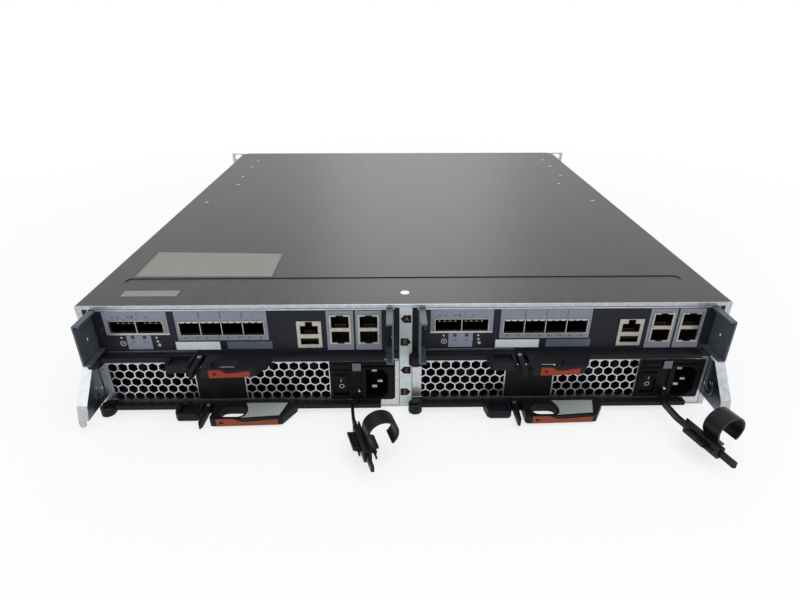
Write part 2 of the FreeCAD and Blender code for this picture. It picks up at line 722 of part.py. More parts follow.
for name, side in SIDES:
    tag = "controller_%s_" % name

    case = module_body(tag + "case", side)
    tube(case, CONTROL_LOW, CONTROL_HIGH)

    # The face is a plate with a window for each group of sockets, and a folded lip over the lever.
    face = module_body(tag + "face", side)
    box(face, ("-" + MODULE_HALF, MODULE_HALF), ("0", "face_wall"), (CONTROL_LOW, CONTROL_HIGH))
    box(face, ("-" + MODULE_HALF, MODULE_HALF), ("-face_lip_reach", "0"),
        ("face_lip - face_wall", "face_lip"))
    windows = [
        ("sas_left - cage_wall", "sas_left + %s + cage_wall" % SAS_SPAN, "sas_low - cage_wall",
         "sas_low + sas_tall + cage_wall"),
        ("sfp_left - cage_wall", "sfp_left + %s + cage_wall" % SFP_SPAN, "sfp_low - cage_wall",
         "sfp_low + sfp_tall + cage_wall"),
        ("console_left", "console_right", "console_low", "console_high"),
        ("stack_left", "stack_left + stack_wide", "stack_low", "stack_high"),
        ("stack_left + stack_pitch", "stack_left + stack_pitch + stack_wide", "stack_low", "stack_high")]
    pocket(face, "XZ", "0", "face_wall", *[oblong(*window) for window in windows])
    pivot(face, "lever_control_level")

    # Plated cages for the shelf links (two) and the pluggable transceivers (four).
    cages = module_body(tag + "port_cages", side)
    box(cages, (windows[0][0], windows[0][1]), ("-cage_proud", "sas_deep + cage_wall"), windows[0][2:])
    for place in range(2):
        left = "sas_left + %d * (sas_wide + cage_wall)" % place
        pocket(cages, "XZ", "-cage_proud", "sas_deep",
               oblong(left, left + " + sas_wide", "sas_low", "sas_low + sas_tall"))
    box(cages, (windows[1][0], windows[1][1]), ("-cage_proud", "sfp_deep + cage_wall"), windows[1][2:])
    for place in range(4):
        left = "sfp_left + %d * (sfp_wide + cage_wall)" % place
        pocket(cages, "XZ", "-cage_proud", "sfp_deep",
               oblong(left, left + " + sfp_wide", "sfp_low", "sfp_low + sfp_tall"))

    # Network jacks: the console jack with a bus socket under it, and two stacks of two.
    jacks = module_body(tag + "jacks", side)
    socket_block(jacks, "console_left", "console_right", "console_low", "console_high")
    console_middle = "(console_left + console_right) / 2"
    jack_hole(jacks, console_middle, "(console_high - jack_rim - jack_tall)", "console_key_tall")
    pocket(jacks, "XZ", "-cage_proud", "-cage_proud + jack_deep", oblong(
        console_middle + " - usb_wide / 2", console_middle + " + usb_wide / 2",
        "console_low + usb_rise", "console_low + usb_rise + usb_tall"))
    for place in range(2):
        left = "stack_left + %d * stack_pitch" % place
        socket_block(jacks, left, left + " + stack_wide", "stack_low", "stack_high")
        middle = left + " + stack_wide / 2"
        jack_hole(jacks, middle, "(stack_high - jack_rim - jack_tall)", "stack_key_tall")
        jack_hole(jacks, middle, "(stack_low + jack_rim + jack_tall)", "stack_key_tall", -1)

    # The main board, with its heat sink and memory modules, and an edge that plugs into the midplane.
    board = module_body(tag + "board", side)
    board_low = CONTROL_LOW + " + main_board_rise"
    board_top = board_low + " + main_board_wall"
    box(board, ("-%s + 2 * module_wall" % MODULE_HALF, MODULE_HALF + " - 2 * module_wall"),
        ("socket_block_deep + board_setback", MODULE_DEPTH + " - edge_reach"), (board_low, board_top))
    box(board, ("-edge_wide / 2", "edge_wide / 2"),
        (MODULE_DEPTH + " - edge_reach", MODULE_DEPTH + " + edge_reach"), (board_low, board_top))
    sink_back = "(%s / 2 - sink_deep / 2)" % MODULE_DEPTH
    box(board, ("-sink_wide", "0"), (sink_back, sink_back + " + sink_deep"),
        (board_top, board_top + " + sink_base"))
    fin = box(board, ("-sink_wide", "-sink_wide + fin_thick"), (sink_back, sink_back + " + sink_deep"),
              (board_top + " + sink_base", board_top + " + sink_tall"))
    repeat(board, fin, "X", "sink_fin_pitch", SINK_FINS)
    stick = box(board, ("memory_left", "memory_left + memory_thick"),
                (sink_back, sink_back + " + memory_long"), (board_top, board_top + " + memory_tall"))
    repeat(board, stick, "X", "memory_pitch", MEMORY_STICKS)

    # A bracket each side of the face: a channel with its folds turned towards the middle of the module.
    brackets = module_body(tag + "brackets", side)
    for end in (-1, 1):
        def place(inset):
            return "%d * (%s - bracket_inset%s)" % (end, MODULE_HALF, inset)
        web, web_in = place(""), place(" - chassis_wall")
        fold, fold_in = place(" - bracket_fold"), place(" - bracket_fold + chassis_wall")
        high = CONTROL_HIGH
        pad(brackets, "XZ", "-bracket_reach", "0", [
            (web, "bracket_low"), (fold, "bracket_low"), (fold, "bracket_low + bracket_return"),
            (fold_in, "bracket_low + bracket_return"), (fold_in, "bracket_low + chassis_wall"),
            (web_in, "bracket_low + chassis_wall"), (web_in, high + " - chassis_wall"),
            (fold_in, high + " - chassis_wall"), (fold_in, high + " - bracket_return"),
            (fold, high + " - bracket_return"), (fold, high), (web, high)])
    half = read("body_width") / 2 - read("flange_width") - read("post_width") / 2 - 2 * read("fit_gap")
    web_x = half / 2 - read("bracket_inset")
    round_edges(brackets, "chassis_wall * 0.9", "Y", lambda p: abs(abs(p.x) - web_x) < 0.1)

    cam_lever(tag + "lever", side, "lever_control_level", "lever_control_end", "grip_control_right")
    cam_latch(tag + "latch", side, "lever_control_level")

for name, side in SIDES:
    tag = "supply_%s_" % name

    case = module_body(tag + "case", side)
    tube(case, POWER_LOW, POWER_HIGH)

    # The face is a perforated plate: rows of six-sided holes either side of a plain panel.
    plate = module_body(tag + "face_plate", side)
    stud = module_body(tag + "lever_stud", side)
    bodies.remove(plate)
    bodies.remove(stud)
    box(plate, ("-" + MODULE_HALF, MODULE_HALF), ("0", "face_wall"), (POWER_LOW, POWER_HIGH))
    pocket(plate, "XZ", "0", "face_wall", oblong(
        "entry_left + entry_flange", "entry_right - entry_flange", "entry_low + entry_flange",
        "entry_high - entry_flange"))
    pivot(stud, "lever_power_level")
    sheet = doc.addObject("Part::Cut", tag + "punched_sheet")
    sheet.Base = plate
    sheet.Tool = hex_holes(tag + "hex_holes", side)
    grille = doc.addObject("Part::Compound", tag + "grille")
    grille.Links = [sheet, stud]
    bodies.append(grille)

    # The power entry is one moulding: a window for the rocker, the strap's anchor and the appliance inlet.
    entry = module_body(tag + "power_entry", side)
    box(entry, ("entry_left", "entry_right"), ("-entry_proud", "0"), ("entry_low", "entry_high"))
    box(entry, ("entry_left + entry_flange", "entry_right - entry_flange"), ("0", "entry_deep"),
        ("entry_low + entry_flange", "entry_high - entry_flange"))
    inlet = ["inlet_x - inlet_wide / 2", "inlet_x + inlet_wide / 2",
             "inlet_level - inlet_tall / 2", "inlet_level + inlet_tall / 2"]
    box(entry, (inlet[0] + " - inlet_rim", inlet[1] + " + inlet_rim"), ("-inlet_proud", "-entry_proud"),
        (inlet[2] + " - inlet_rim / 2", inlet[3] + " + inlet_rim / 2"))
    pocket(entry, "XZ", "-inlet_proud", "-inlet_proud + inlet_deep", [
        (inlet[0], inlet[2]), (inlet[1] + " - inlet_corner", inlet[2]),
        (inlet[1], inlet[2] + " + inlet_corner"), (inlet[1], inlet[3] + " - inlet_corner"),
        (inlet[1] + " - inlet_corner", inlet[3]), (inlet[0], inlet[3])])
    for blade_x, blade_level in (("inlet_x - inlet_pin_shift", "inlet_level - inlet_pin_pitch"),
                                 ("inlet_x - inlet_pin_shift", "inlet_level + inlet_pin_pitch"),
                                 ("inlet_x + inlet_pin_shift", "inlet_level")):
        box(entry, (blade_x + " - inlet_pin_wide / 2", blade_x + " + inlet_pin_wide / 2"),
            ("blade_start", "-inlet_proud + inlet_deep"),
            (blade_level + " - inlet_pin_tall / 2", blade_level + " + inlet_pin_tall / 2"))
    pocket(entry, "XZ", "-entry_proud", "entry_deep - rocker_well_back", oblong(
        "rocker_x - rocker_wide / 2 - rocker_gap", "rocker_x + rocker_wide / 2 + rocker_gap",
        "rocker_level - rocker_tall / 2 - rocker_gap", "rocker_level + rocker_tall / 2 + rocker_gap"))

    # The rocker is a slice of a cylinder round its pivot, with a shallow bend across its front.
    rocker = module_body(tag + "rocker", side)
    left, right = "rocker_x - rocker_wide / 2", "rocker_x + rocker_wide / 2"
    pad(rocker, "YZ", left, right,
        many_sided("rocker_pivot_depth", "rocker_level", "rocker_tall / 2", BORE_SIDES))
    pocket(rocker, "YZ", left, right, [
        ("-rocker_high_face", "rocker_level + rocker_tall / 2"), ("-rocker_bend", "rocker_level"),
        ("-rocker_low_face", "rocker_level - rocker_tall / 2"),
        ("-rocker_tall", "rocker_level - rocker_tall / 2"),
        ("-rocker_tall", "rocker_level + rocker_tall / 2")])

    cam_lever(tag + "lever", side, "lever_power_level", "lever_power_end", "grip_power_right")
    cam_latch(tag + "latch", side, "lever_power_level")

    # The cord retainer's strap is moulded nylon, bowed clear of the inlet and straight where the clip slides.
    strap = module_body(tag + "cord_strap", side)
    strap_low, strap_high = "strap_level - strap_tall / 2", "strap_level + strap_tall / 2"
    tip_x = "strap_knee_x + strap_run * sin(strap_angle)"
    tip_y = "-strap_knee_y - strap_run * cos(strap_angle)"
    route = [("strap_x", "-entry_proud"), ("strap_bow_x", "-strap_bow_y"), ("strap_knee_x", "-strap_knee_y"),
             (tip_x, tip_y)]
    pad(strap, "XY", strap_low, strap_high,
        [("%s - strap_thick / 2" % x, y) for x, y in route]
        + [("%s + strap_thick / 2" % x, y) for x, y in reversed(route)])
    bend_from, bend_to = -read("strap_knee_y") - 1, -read("strap_bow_y") + 1
    round_edges(strap, "strap_knee_y / 2", "Z", lambda p: bend_from < p.y < bend_to)

    # The clip rides on the strap's straight run. A split ring on its side takes the power cord.
    clip = new_body(tag + "cord_clip",
                    "%d * %s + strap_knee_x + clip_along * sin(strap_angle)" % (side, MODULE_X),
                    "%s - strap_knee_y - clip_along * cos(strap_angle)" % REAR, "strap_level")
    bind(clip, "Placement.Rotation.Angle", "strap_angle")
    half_clip = "clip_tall / 2"
    ends = ("-clip_half_long", "clip_half_long")
    pad(clip, "XZ", ends[0], ends[1], [
        ("-clip_half", "-" + half_clip), ("clip_half", "-" + half_clip),
        ("clip_half", "-%s + clip_foot" % half_clip), ("clip_half / 4", "-%s + clip_foot" % half_clip),
        ("clip_half / 4", half_clip), ("-clip_half", half_clip)])
    ring_ends = ("-ring_long / 2 - 1", "ring_long / 2 - 1")
    pad(clip, "XZ", *ring_ends, many_sided("ring_x", "ring_rise", "ring_outer", BORE_SIDES))
    pocket(clip, "XZ", *ring_ends, many_sided("ring_x", "ring_rise", "ring_inner", BORE_SIDES))
    pocket(clip, "XZ", *ring_ends, [
        ("ring_x - 2", "ring_rise - ring_outer * 0.5"), ("ring_x + 5", "ring_rise - ring_outer * 0.4"),
        ("ring_x + 9", "ring_rise - ring_outer * 1.1"), ("clip_half + 0.4", "ring_rise - ring_outer * 1.1"),
        ("clip_half + 0.4", "ring_rise - ring_outer * 0.85")])
    slot = "strap_thick / 2 + clip_slot_gap"
    slot_rise = "strap_tall / 2 + clip_slot_gap"
    pocket(clip, "XZ", ends[0], ends[1], oblong("-(%s)" % slot, slot, "-(%s)" % slot_rise, slot_rise))
    for finger in ("-clip_half + finger_inset", "clip_half - finger_inset - finger_thick"):
        box(clip, (finger, finger + " + finger_thick"), ("-clip_half_long - finger_long", "-clip_half_long"),
            ("-%s" % half_clip, "-%s + finger_tall" % half_clip))

    # Two fans behind the holes draw air through the supply. Their frames carry the motors on four arms, and
    # their round forms have few sides, because the honeycomb hides them.
    frames = module_body(tag + "fan_frames", side)
    frame_low = POWER_LOW + " + module_wall"
    fan_level = "(%s + fan_frame / 2)" % frame_low
    fan_end = "fan_inset + fan_deep"
    for fan_x in ("fan_left_x", "fan_right_x"):
        pad(frames, "XZ", "fan_inset", fan_end,
            oblong(fan_x + " - fan_frame / 2", fan_x + " + fan_frame / 2",
                   frame_low, frame_low + " + fan_frame"),
            many_sided(fan_x, fan_level, "fan_bore", BORE_SIDES))
        pad(frames, "XZ", fan_end + " - fan_arm", fan_end, many_sided(fan_x, fan_level, "fan_hub", HUB_SIDES))
        box(frames, (fan_x + " - fan_bore", fan_x + " + fan_bore"), (fan_end + " - fan_arm", fan_end),
            (fan_level + " - fan_arm / 2", fan_level + " + fan_arm / 2"))
        box(frames, (fan_x + " - fan_arm / 2", fan_x + " + fan_arm / 2"), (fan_end + " - fan_arm", fan_end),
            (fan_level + " - fan_bore", fan_level + " + fan_bore"))

    for place, fan_x in (("outer", "fan_left_x"), ("inner", "fan_right_x")):
        rotor = new_body(tag + "rotor_" + place, "%d * %s + %s" % (side, MODULE_X, fan_x),
                         REAR + " + fan_inset + rotor_inset", fan_level)
        pad(rotor, "XZ", "0", "blade_deep + hub_extra", many_sided("0", "0", "fan_hub", HUB_SIDES))
        sweep = "blade_sweep"
        blade = pad(rotor, "XY", "fan_hub - 1", "fan_tip - 1", [
            ("-%s" % sweep, "1"), ("-%s + blade_thick" % sweep, "1"),
            ("%s" % sweep, "blade_deep"), ("%s - blade_thick" % sweep, "blade_deep")])
        ring = rotor.newObject("PartDesign::PolarPattern", rotor.Name + "_blades")
        ring.Originals = [blade]
        ring.Axis = ([o for o in rotor.Origin.OriginFeatures if o.Role == "Y_Axis"][0], [""])
        ring.Angle = 360
        ring.Occurrences = BLADES
        rotor.Tip = ring

# ------------------------------------------------------------------ disk carriers

# A carrier holds its disk between two rails behind a bezel, and its handle lies closed in the bezel.
for row in range(ROWS):
    for column in range(COLUMNS):
        label = "disk_carrier_%02d" % (row * COLUMNS + column + 1)
        middle = "%s + %s / 2 + %d * (%s + divider_wall)" % (CAGE_LEFT, BAY_WIDE, column, BAY_WIDE)
        floor = "chassis_wall + %d * %s" % (ROWS - 1 - row, BAY_TALL)
        carrier = new_body(label, middle, FRONT, floor)
        half = "(%s / 2 - carrier_side_gap)" % BAY_WIDE
        low = "(carrier_gap + ledge_wall / 2)"
        high = "(%s - carrier_gap - ledge_wall / 2)" % BAY_TALL
        # bezel and rails are one moulding
        box(carrier, ("-" + half, half), ("-bezel_deep + bezel_proud", "bezel_proud"), (low, high))
        for end in (-1, 1):
            box(carrier, ("%d * %s" % (end, half), "%d * (%s - carrier_rail)" % (end, half)),
                ("-carrier_depth", "-bezel_deep + bezel_proud"),
                (low + " + rail_inset", high + " - rail_inset"))
        handle = ("-handle_wide / 2", "handle_wide / 2")
        level = "(%s / 2)" % BAY_TALL
        hollow(carrier, (handle[0] + " - fit_gap", handle[1] + " + fit_gap"),
               ("bezel_proud - handle_deep", "bezel_proud"),
               (level + " - handle_tall / 2 - fit_gap", level + " + handle_tall / 2 + fit_gap"))
        # the disk drive
        box(carrier, ("-disk_wide / 2", "disk_wide / 2"),
            ("-bezel_deep - disk_long", "-bezel_deep + bezel_proud - disk_back_gap"),
            (low + " + disk_gap", high + " - disk_gap"))
        # the handle
        pad(carrier, "YZ", handle[0], handle[1], [
            ("bezel_proud - handle_deep + handle_gap", level + " - handle_tall / 2"),
            ("bezel_proud", level + " - handle_tall / 2"),
            ("bezel_proud + handle_proud", level + " - handle_tall / 4"),
            ("bezel_proud + handle_proud", level + " + handle_tall / 4"),
            ("bezel_proud", level + " + handle_tall / 2"),
            ("bezel_proud - handle_deep + handle_gap", level + " + handle_tall / 2")])

# ------------------------------------------------------------------ check and write

doc.recompute()
faults = []
for thing in doc.Objects:
    if "Invalid" in thing.State or "Error" in thing.State:
        faults.append("%s: %s" % (thing.Name, thing.State))
        continue
    if thing.TypeId in ("PartDesign::Pocket", "PartDesign::Pad"):
        base = thing.BaseFeature
        before = base.Shape.Volume if base and not base.Shape.isNull() else 0
        change = thing.Shape.Volume - before
        if (change > -1e-6) == (thing.TypeId == "PartDesign::Pocket"):
            faults.append("%s changes the volume by %.3f" % (thing.Name, change))
for body in bodies:
    if body.Shape.isNull() or not body.Shape.isValid() or not body.Shape.Solids:
        faults.append("%s has no sound solid" % body.Label)
if faults:
    raise SystemExit("\n".join(faults))

os.makedirs("parts", exist_ok=True)
for body in bodies:
    body.Shape.exportStep("parts/%s.step" % body.Label)
print("%d sub-parts" % len(bodies))
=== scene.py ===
import math

import bpy
import numpy as np
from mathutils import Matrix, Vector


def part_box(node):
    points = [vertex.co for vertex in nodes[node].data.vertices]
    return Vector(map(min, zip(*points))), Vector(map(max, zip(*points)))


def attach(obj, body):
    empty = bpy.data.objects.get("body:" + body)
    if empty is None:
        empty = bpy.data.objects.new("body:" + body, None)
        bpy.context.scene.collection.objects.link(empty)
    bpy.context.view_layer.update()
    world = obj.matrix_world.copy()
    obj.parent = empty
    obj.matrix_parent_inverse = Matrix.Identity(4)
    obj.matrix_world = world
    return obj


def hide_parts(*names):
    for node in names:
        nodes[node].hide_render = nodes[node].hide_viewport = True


# Disk shelf enclosure, seen from its rear. Sizes are in millimetres, and become metres where a mesh is made.
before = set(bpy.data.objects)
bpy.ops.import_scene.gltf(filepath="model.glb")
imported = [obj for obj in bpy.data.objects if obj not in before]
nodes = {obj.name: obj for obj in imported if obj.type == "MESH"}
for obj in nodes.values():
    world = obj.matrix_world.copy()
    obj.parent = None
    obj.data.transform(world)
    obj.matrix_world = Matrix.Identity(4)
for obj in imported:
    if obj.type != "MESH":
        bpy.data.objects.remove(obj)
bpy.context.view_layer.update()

# ---------------------------------------------------------------- chassis sheets
# The tray, covers, drive cage and shelves are folded from zinc-plated steel sheet. The rolls that flatten the
# sheet leave faint streaks from front to rear, and the zinc freezes in grains a few millimetres across.
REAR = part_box("chassis_tray")[0].y * 1000
RIM_HIGHLIGHT_DEPTH = 1.0
EVEN = (1.0, 1.0, 1.0)
STREAKS = (1.0, 0.12, 1.0)
TONE_SHARES = (0.3, 0.72)


def linear(code):
    """A linear colour from an sRGB hex value: each channel is undone by the sRGB curve."""
    value = np.array([int(code[i:i + 2], 16) for i in (1, 3, 5)]) / 255
    curve = np.where(value <= 0.04045, value / 12.92, ((value + 0.055) / 1.055) ** 2.4)
    return (*curve.tolist(), 1.0)


def add(tree, kind, links=(), stops=(), **settings):
    """Adds a node, and sets its properties, input values, colour stops and links.

    A link is an (input, node, output) triple, and a stop is a (position, hex colour) pair."""
    node = tree.nodes.new(kind)
    for key, value in settings.items():
        if hasattr(node, key):
            setattr(node, key, value)
        else:
            node.inputs[key.replace("_", " ")].default_value = value
    for number, (position, code) in enumerate(stops):
        node.color_ramp.elements[number].position = position
        node.color_ramp.elements[number].color = linear(code)
    for target, source, output in links:
        tree.links.new(source.outputs[output], node.inputs[target])
    return node


def material(name, colour, metallic, roughness):
    """A material with a plain surface, ready for its pattern. Returns it, its node tree and its shader."""
    made = bpy.data.materials.new(name)
    made.use_nodes = True
    tree = made.node_tree
    shader = tree.nodes["Principled BSDF"]
    shader.inputs["Base Color"].default_value = linear(colour)
    shader.inputs["Metallic"].default_value = metallic
    shader.inputs["Roughness"].default_value = roughness
    return made, tree, shader


def speckled(tree, shader, roughness, spread, grain, stretch, relief):
    """A noise that gives a shader its gloss and height. Returns the coordinates and the noise.

    The roughness goes up and down by spread. Grain and relief are the noise's size and height in mm."""
    place = add(tree, "ShaderNodeTexCoord")
    fitted = add(tree, "ShaderNodeMapping", [("Vector", place, "Object")], Scale=stretch)
    noise = add(tree, "ShaderNodeTexNoise", [("Vector", fitted, "Vector")], Scale=1000 / grain, Detail=5.0,
                Roughness=0.6)
    gloss = add(tree, "ShaderNodeMapRange", [("Value", noise, "Fac")], To_Min=roughness - spread,
                To_Max=roughness + spread)
    bump = add(tree, "ShaderNodeBump", [("Height", noise, "Fac")], Strength=0.5, Distance=relief / 1000)
    tree.links.new(gloss.outputs["Result"], shader.inputs["Roughness"])
    tree.links.new(bump.outputs["Normal"], shader.inputs["Normal"])
    return place, noise


def grained(name, tone, roughness, grain, stretch=EVEN, relief=0.02, shine=0.5):
    """A surface whose colour, gloss and height follow one noise.

    A tone is a dark hex colour, a light one, and how metallic the surface is."""
    made, tree, shader = material(name, tone[1], tone[2], roughness)
    shader.inputs["Specular IOR Level"].default_value = shine
    noise = speckled(tree, shader, roughness, spread=0.08, grain=grain, stretch=stretch, relief=relief)[1]
    ramp = add(tree, "ShaderNodeValToRGB", [("Fac", noise, "Fac")], stops=zip(TONE_SHARES, tone))
    tree.links.new(ramp.outputs["Color"], shader.inputs["Base Color"])
    return made


def parted(name, level, near, far, roughness, grain, axis="Y", stretch=EVEN):
    """A surface with two tones, near and far, that meet at a level in mm along an axis."""
    made, tree, shader = material(name, near[0], near[2], roughness)
    place, noise = speckled(tree, shader, roughness, spread=0.07, grain=grain, stretch=stretch, relief=0.02)
    axes = add(tree, "ShaderNodeSeparateXYZ", [("Vector", place, "Object")])
    beyond = add(tree, "ShaderNodeMath", [(0, axes, axis)], operation="GREATER_THAN")
    beyond.inputs[1].default_value = level / 1000
    # a Mix node takes its two colours at inputs 6 and 7, and gives their mix at output 2
    both = add(tree, "ShaderNodeMix", [("Factor", beyond, "Value")], data_type="RGBA")
    for socket, tone in ((6, near), (7, far)):
        ramp = add(tree, "ShaderNodeValToRGB", [("Fac", noise, "Fac")], stops=zip(TONE_SHARES, tone))
        tree.links.new(ramp.outputs["Color"], both.inputs[socket])
    metal = add(tree, "ShaderNodeMapRange", [("Value", beyond, "Value")], To_Min=near[2], To_Max=far[2])
    tree.links.new(both.outputs[2], shader.inputs["Base Color"])
    tree.links.new(metal.outputs["Result"], shader.inputs["Metallic"])
    return made


def dress(made, *names):
    """Gives CAD nodes a material in place of their own."""
    for name in names:
        slots = nodes[name].material_slots
        if not slots:
            nodes[name].data.materials.append(made)
        for slot in slots:
            slot.material = made


rolled_tone = ("#474949", "#535556", 1.0)
# the first millimetre of the tray and the rear cover from their rear face is drawn in a lighter zinc: a
# painted highlight along the rear rim
rim_highlight_tone = ("#a8acb2", "#c6cacf", 1.0)
zinc_sheet = grained("zinc_plated_steel_sheet", rolled_tone, 0.4, 3.0, STREAKS)
sheet_with_painted_rim_highlight = parted("zinc_plated_steel_painted_rim_highlight", REAR + RIM_HIGHLIGHT_DEPTH, rim_highlight_tone,
                            rolled_tone, 0.4, 3.0, stretch=STREAKS)
dress(zinc_sheet, "drive_cage", "module_shelves")
dress(sheet_with_painted_rim_highlight, "chassis_tray", "rear_cover")

# ---------------------------------------------------------------- circuit boards
# The midplane and the controllers' boards are glass-epoxy laminate under green solder resist, which is smooth
# and slightly glossy, with copper planes showing through as darker patches.
solder_resist = grained("glass_epoxy_solder_resist", ("#123b22", "#1d5a33", 0.0), 0.35, 9.0)
dress(solder_resist, "midplane_board", "controller_left_board", "controller_right_board")

# ---------------------------------------------------------------- roof details
# On the roof are two blank paper labels, a low screw at the rear edge, and the heads of the rivets that hold
# the drive cage. Paper is matt and slightly fibrous, and the rivets are the same zinc as the sheet.
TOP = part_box("rear_cover")[1].z * 1000
PAPER = 0.08
HEAD_PROUD = 0.12
SCREW = (-0.3, REAR + 18.6, 0.0)
LARGE_LABEL = [(-203, -144), (-100, -149), (-100, -194.5), (-202.5, -193)]
SMALL_LABEL = [(-199.5, -218), (-160.3, -218), (-160.3, -227), (-199.2, -227)]
RIVETS = ((-193.5, 194), (-193.8, 158), (-193.9, 108), (-190.3, 70), (201, 194), (201.4, 157), (201.3, 107),
          (188.7, 69), (206, -1.7), (-206, -1.7))
SHARP_ANGLE = math.radians(35)
# for an outline that faces rear (-Y), top (+Z) or side (+X): which of its two axes and its level give x, y, z
FLAT = {"rear": (0, 2, 1), "top": (0, 1, 2), "side": (2, 0, 1)}


def carried(rings, closed=False):
    """A closed shell: quads join each ring of points to the next, and flat faces close the two ends.

    Its faces are turned about if the volume that they enclose comes out negative."""
    rings = np.asarray(rings, float)
    count, around = rings.shape[:2]
    points = rings.reshape(-1, 3)
    i = np.arange(count if closed else count - 1)[:, None]
    j = np.arange(around)[None, :]
    following = (j + 1) % around
    after = (i + 1) % count
    corners = (i * around + j, i * around + following, after * around + following, after * around + j)
    faces = np.stack(corners, -1).reshape(-1, 4).tolist()
    if not closed:
        faces += [np.arange(around)[::-1].tolist(), ((count - 1) * around + np.arange(around)).tolist()]
    middle = points.mean(0)
    volume = sum(np.sum(np.cross(points[f[1:-1]] - middle, points[f[2:]] - middle) @ (points[f[0]] - middle))
                 for f in faces)
    return points, [f[::-1] for f in faces] if volume < 0 else faces


def laid(outline, level, flat):
    """Points of a flat outline, set at a level along the axis across it."""
    outline = np.asarray(outline, float)
    solid = np.column_stack([outline, np.full(len(outline), float(level))])
    return solid[:, FLAT[flat]]


def rounded(left, right, low, high, radius=0.01, steps=3):
    """A rectangle with round corners: a quarter circle about each corner's centre, taken in turn."""
    turn = np.linspace(0, np.pi / 2, steps)[None, :] + np.arange(4)[:, None] * np.pi / 2
    centre = np.array([[right - radius, high - radius], [left + radius, high - radius],
                       [left + radius, low + radius], [right - radius, low + radius]])
    return (centre[:, None] + radius * np.stack([np.cos(turn), np.sin(turn)], -1)).reshape(-1, 2)


def circle(steps):
    """Points evenly round a circle of radius 1: the cosine and the sine of each angle."""
    turn = np.arange(steps) * 2 * np.pi / steps
    return np.column_stack([np.cos(turn), np.sin(turn)])


def slab(outline, start, end, flat, soften=0.0):
    """A sheet cut to an outline. Its two rims shrink towards the middle by soften, which rounds the edges."""
    outline = np.asarray(outline, float)
    if not soften:
        return carried([laid(outline, start, flat), laid(outline, end, flat)])
    middle = (outline.max(0) + outline.min(0)) / 2
    shrunk = middle + (outline - middle) * (1 - soften / (np.ptp(outline, 0) / 2))
    step = math.copysign(soften, end - start)
    return carried([laid(shrunk, start, flat), laid(outline, start + step, flat),
                    laid(outline, end - step, flat), laid(shrunk, end, flat)])


def window(outer, inner, start, end, flat):
    """A sheet with an opening: a ring whose square section runs from the outer edge to the inner and back."""
    return carried([laid(outer, start, flat), laid(outer, end, flat), laid(inner, end, flat),
                    laid(inner, start, flat)], closed=True)


def turned(profile, centre, flat, steps=20):
    """A turned form: each (radius, height) of the profile is a circle about the centre."""
    return carried([laid(centre[:2] + radius * circle(steps), centre[2] + height, flat)
                    for radius, height in profile])


def dome(radius, proud):
    """The profile of a screw head: a low crown that stands out by proud, and falls into a socket."""
    return [(radius, 0.0), (radius, proud * 0.4), (radius * 0.8, proud * 0.85), (radius * 0.5, proud),
            (radius * 0.42, proud * 0.5), (radius * 0.05, proud * 0.45)]


def piece(name, shells, made, body, origin=(0.0, 0.0, 0.0)):
    """One visible piece: shells moved to an origin. It rides on a body."""
    points, faces, count = [], [], 0
    for shell_points, shell_faces in shells:
        points.append(shell_points)
        faces += [np.add(face, count).tolist() for face in shell_faces]
        count += len(shell_points)
    mesh = bpy.data.meshes.new(name)
    mesh.from_pydata(((np.concatenate(points) + origin) / 1000).tolist(), [], faces)
    mesh.materials.append(made)
    mesh.shade_smooth()
    mesh.set_sharp_from_angle(angle=SHARP_ANGLE)
    made_object = bpy.data.objects.new(name, mesh)
    bpy.context.scene.collection.objects.link(made_object)
    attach(made_object, body)
    return made_object


paper = grained("label_paper", ("#888581", "#989590", 0.0), 0.75, 2.0, relief=0.01, shine=0.2)
bright_steel = grained("bright_zinc_fastener", ("#a9abac", "#c6c8ca", 1.0), 0.3, 1.2)
for name, outline in (("roof_label_large", LARGE_LABEL), ("roof_label_small", SMALL_LABEL)):
    piece(name, [slab(outline, 0, PAPER, "top")], paper, "chassis", (0, 0, TOP))
domes = [turned(dome(3.1, HEAD_PROUD), SCREW, "top")]
domes += [turned(dome(1.9, HEAD_PROUD), (x, y, 0), "top", 16) for x, y in RIVETS]
piece("roof_rivets", domes, bright_steel, "chassis", (0, 0, TOP))

# ---------------------------------------------------------------- centre post
# The post between the modules is folded sheet in pale satin paint. Four brown tags of printed film on it
# point to the module beside each: A and B for the controllers, 1 and 2 for the power supplies.
INK = 0.03
LETTER_TALL = 3.4
FONT_SIZE = 1.4 * LETTER_TALL
ARROW = np.array([(-3.7, -3), (1.2, -3), (3.7, 0), (1.2, 3), (-3.7, 3)])
TAGS = ((74.3, "A", -1), (55.9, "B", 1), (32.3, "1", -1), (13.2, "2", 1))


def letters(text, x, z, y):
    """Flat letters facing the rear, about a centre: the font's outline is filled and given a depth."""
    curve = bpy.data.curves.new("letters", "FONT")
    curve.body = text
    curve.size = FONT_SIZE
    curve.extrude = INK
    curve.align_x, curve.align_y = "CENTER", "CENTER"
    holder = bpy.data.objects.new("letters", curve)
    bpy.context.scene.collection.objects.link(holder)
    bpy.context.view_layer.update()
    mesh = bpy.data.meshes.new_from_object(holder.evaluated_get(bpy.context.evaluated_depsgraph_get()))
    flat = np.empty(len(mesh.vertices) * 3, np.float32)
    mesh.vertices.foreach_get("co", flat)
    across, up, out = flat.reshape(-1, 3).T.astype(float)
    faces = [list(face.vertices) for face in mesh.polygons]
    bpy.data.objects.remove(holder)
    return np.column_stack([across + x, y - out, up + z]), faces


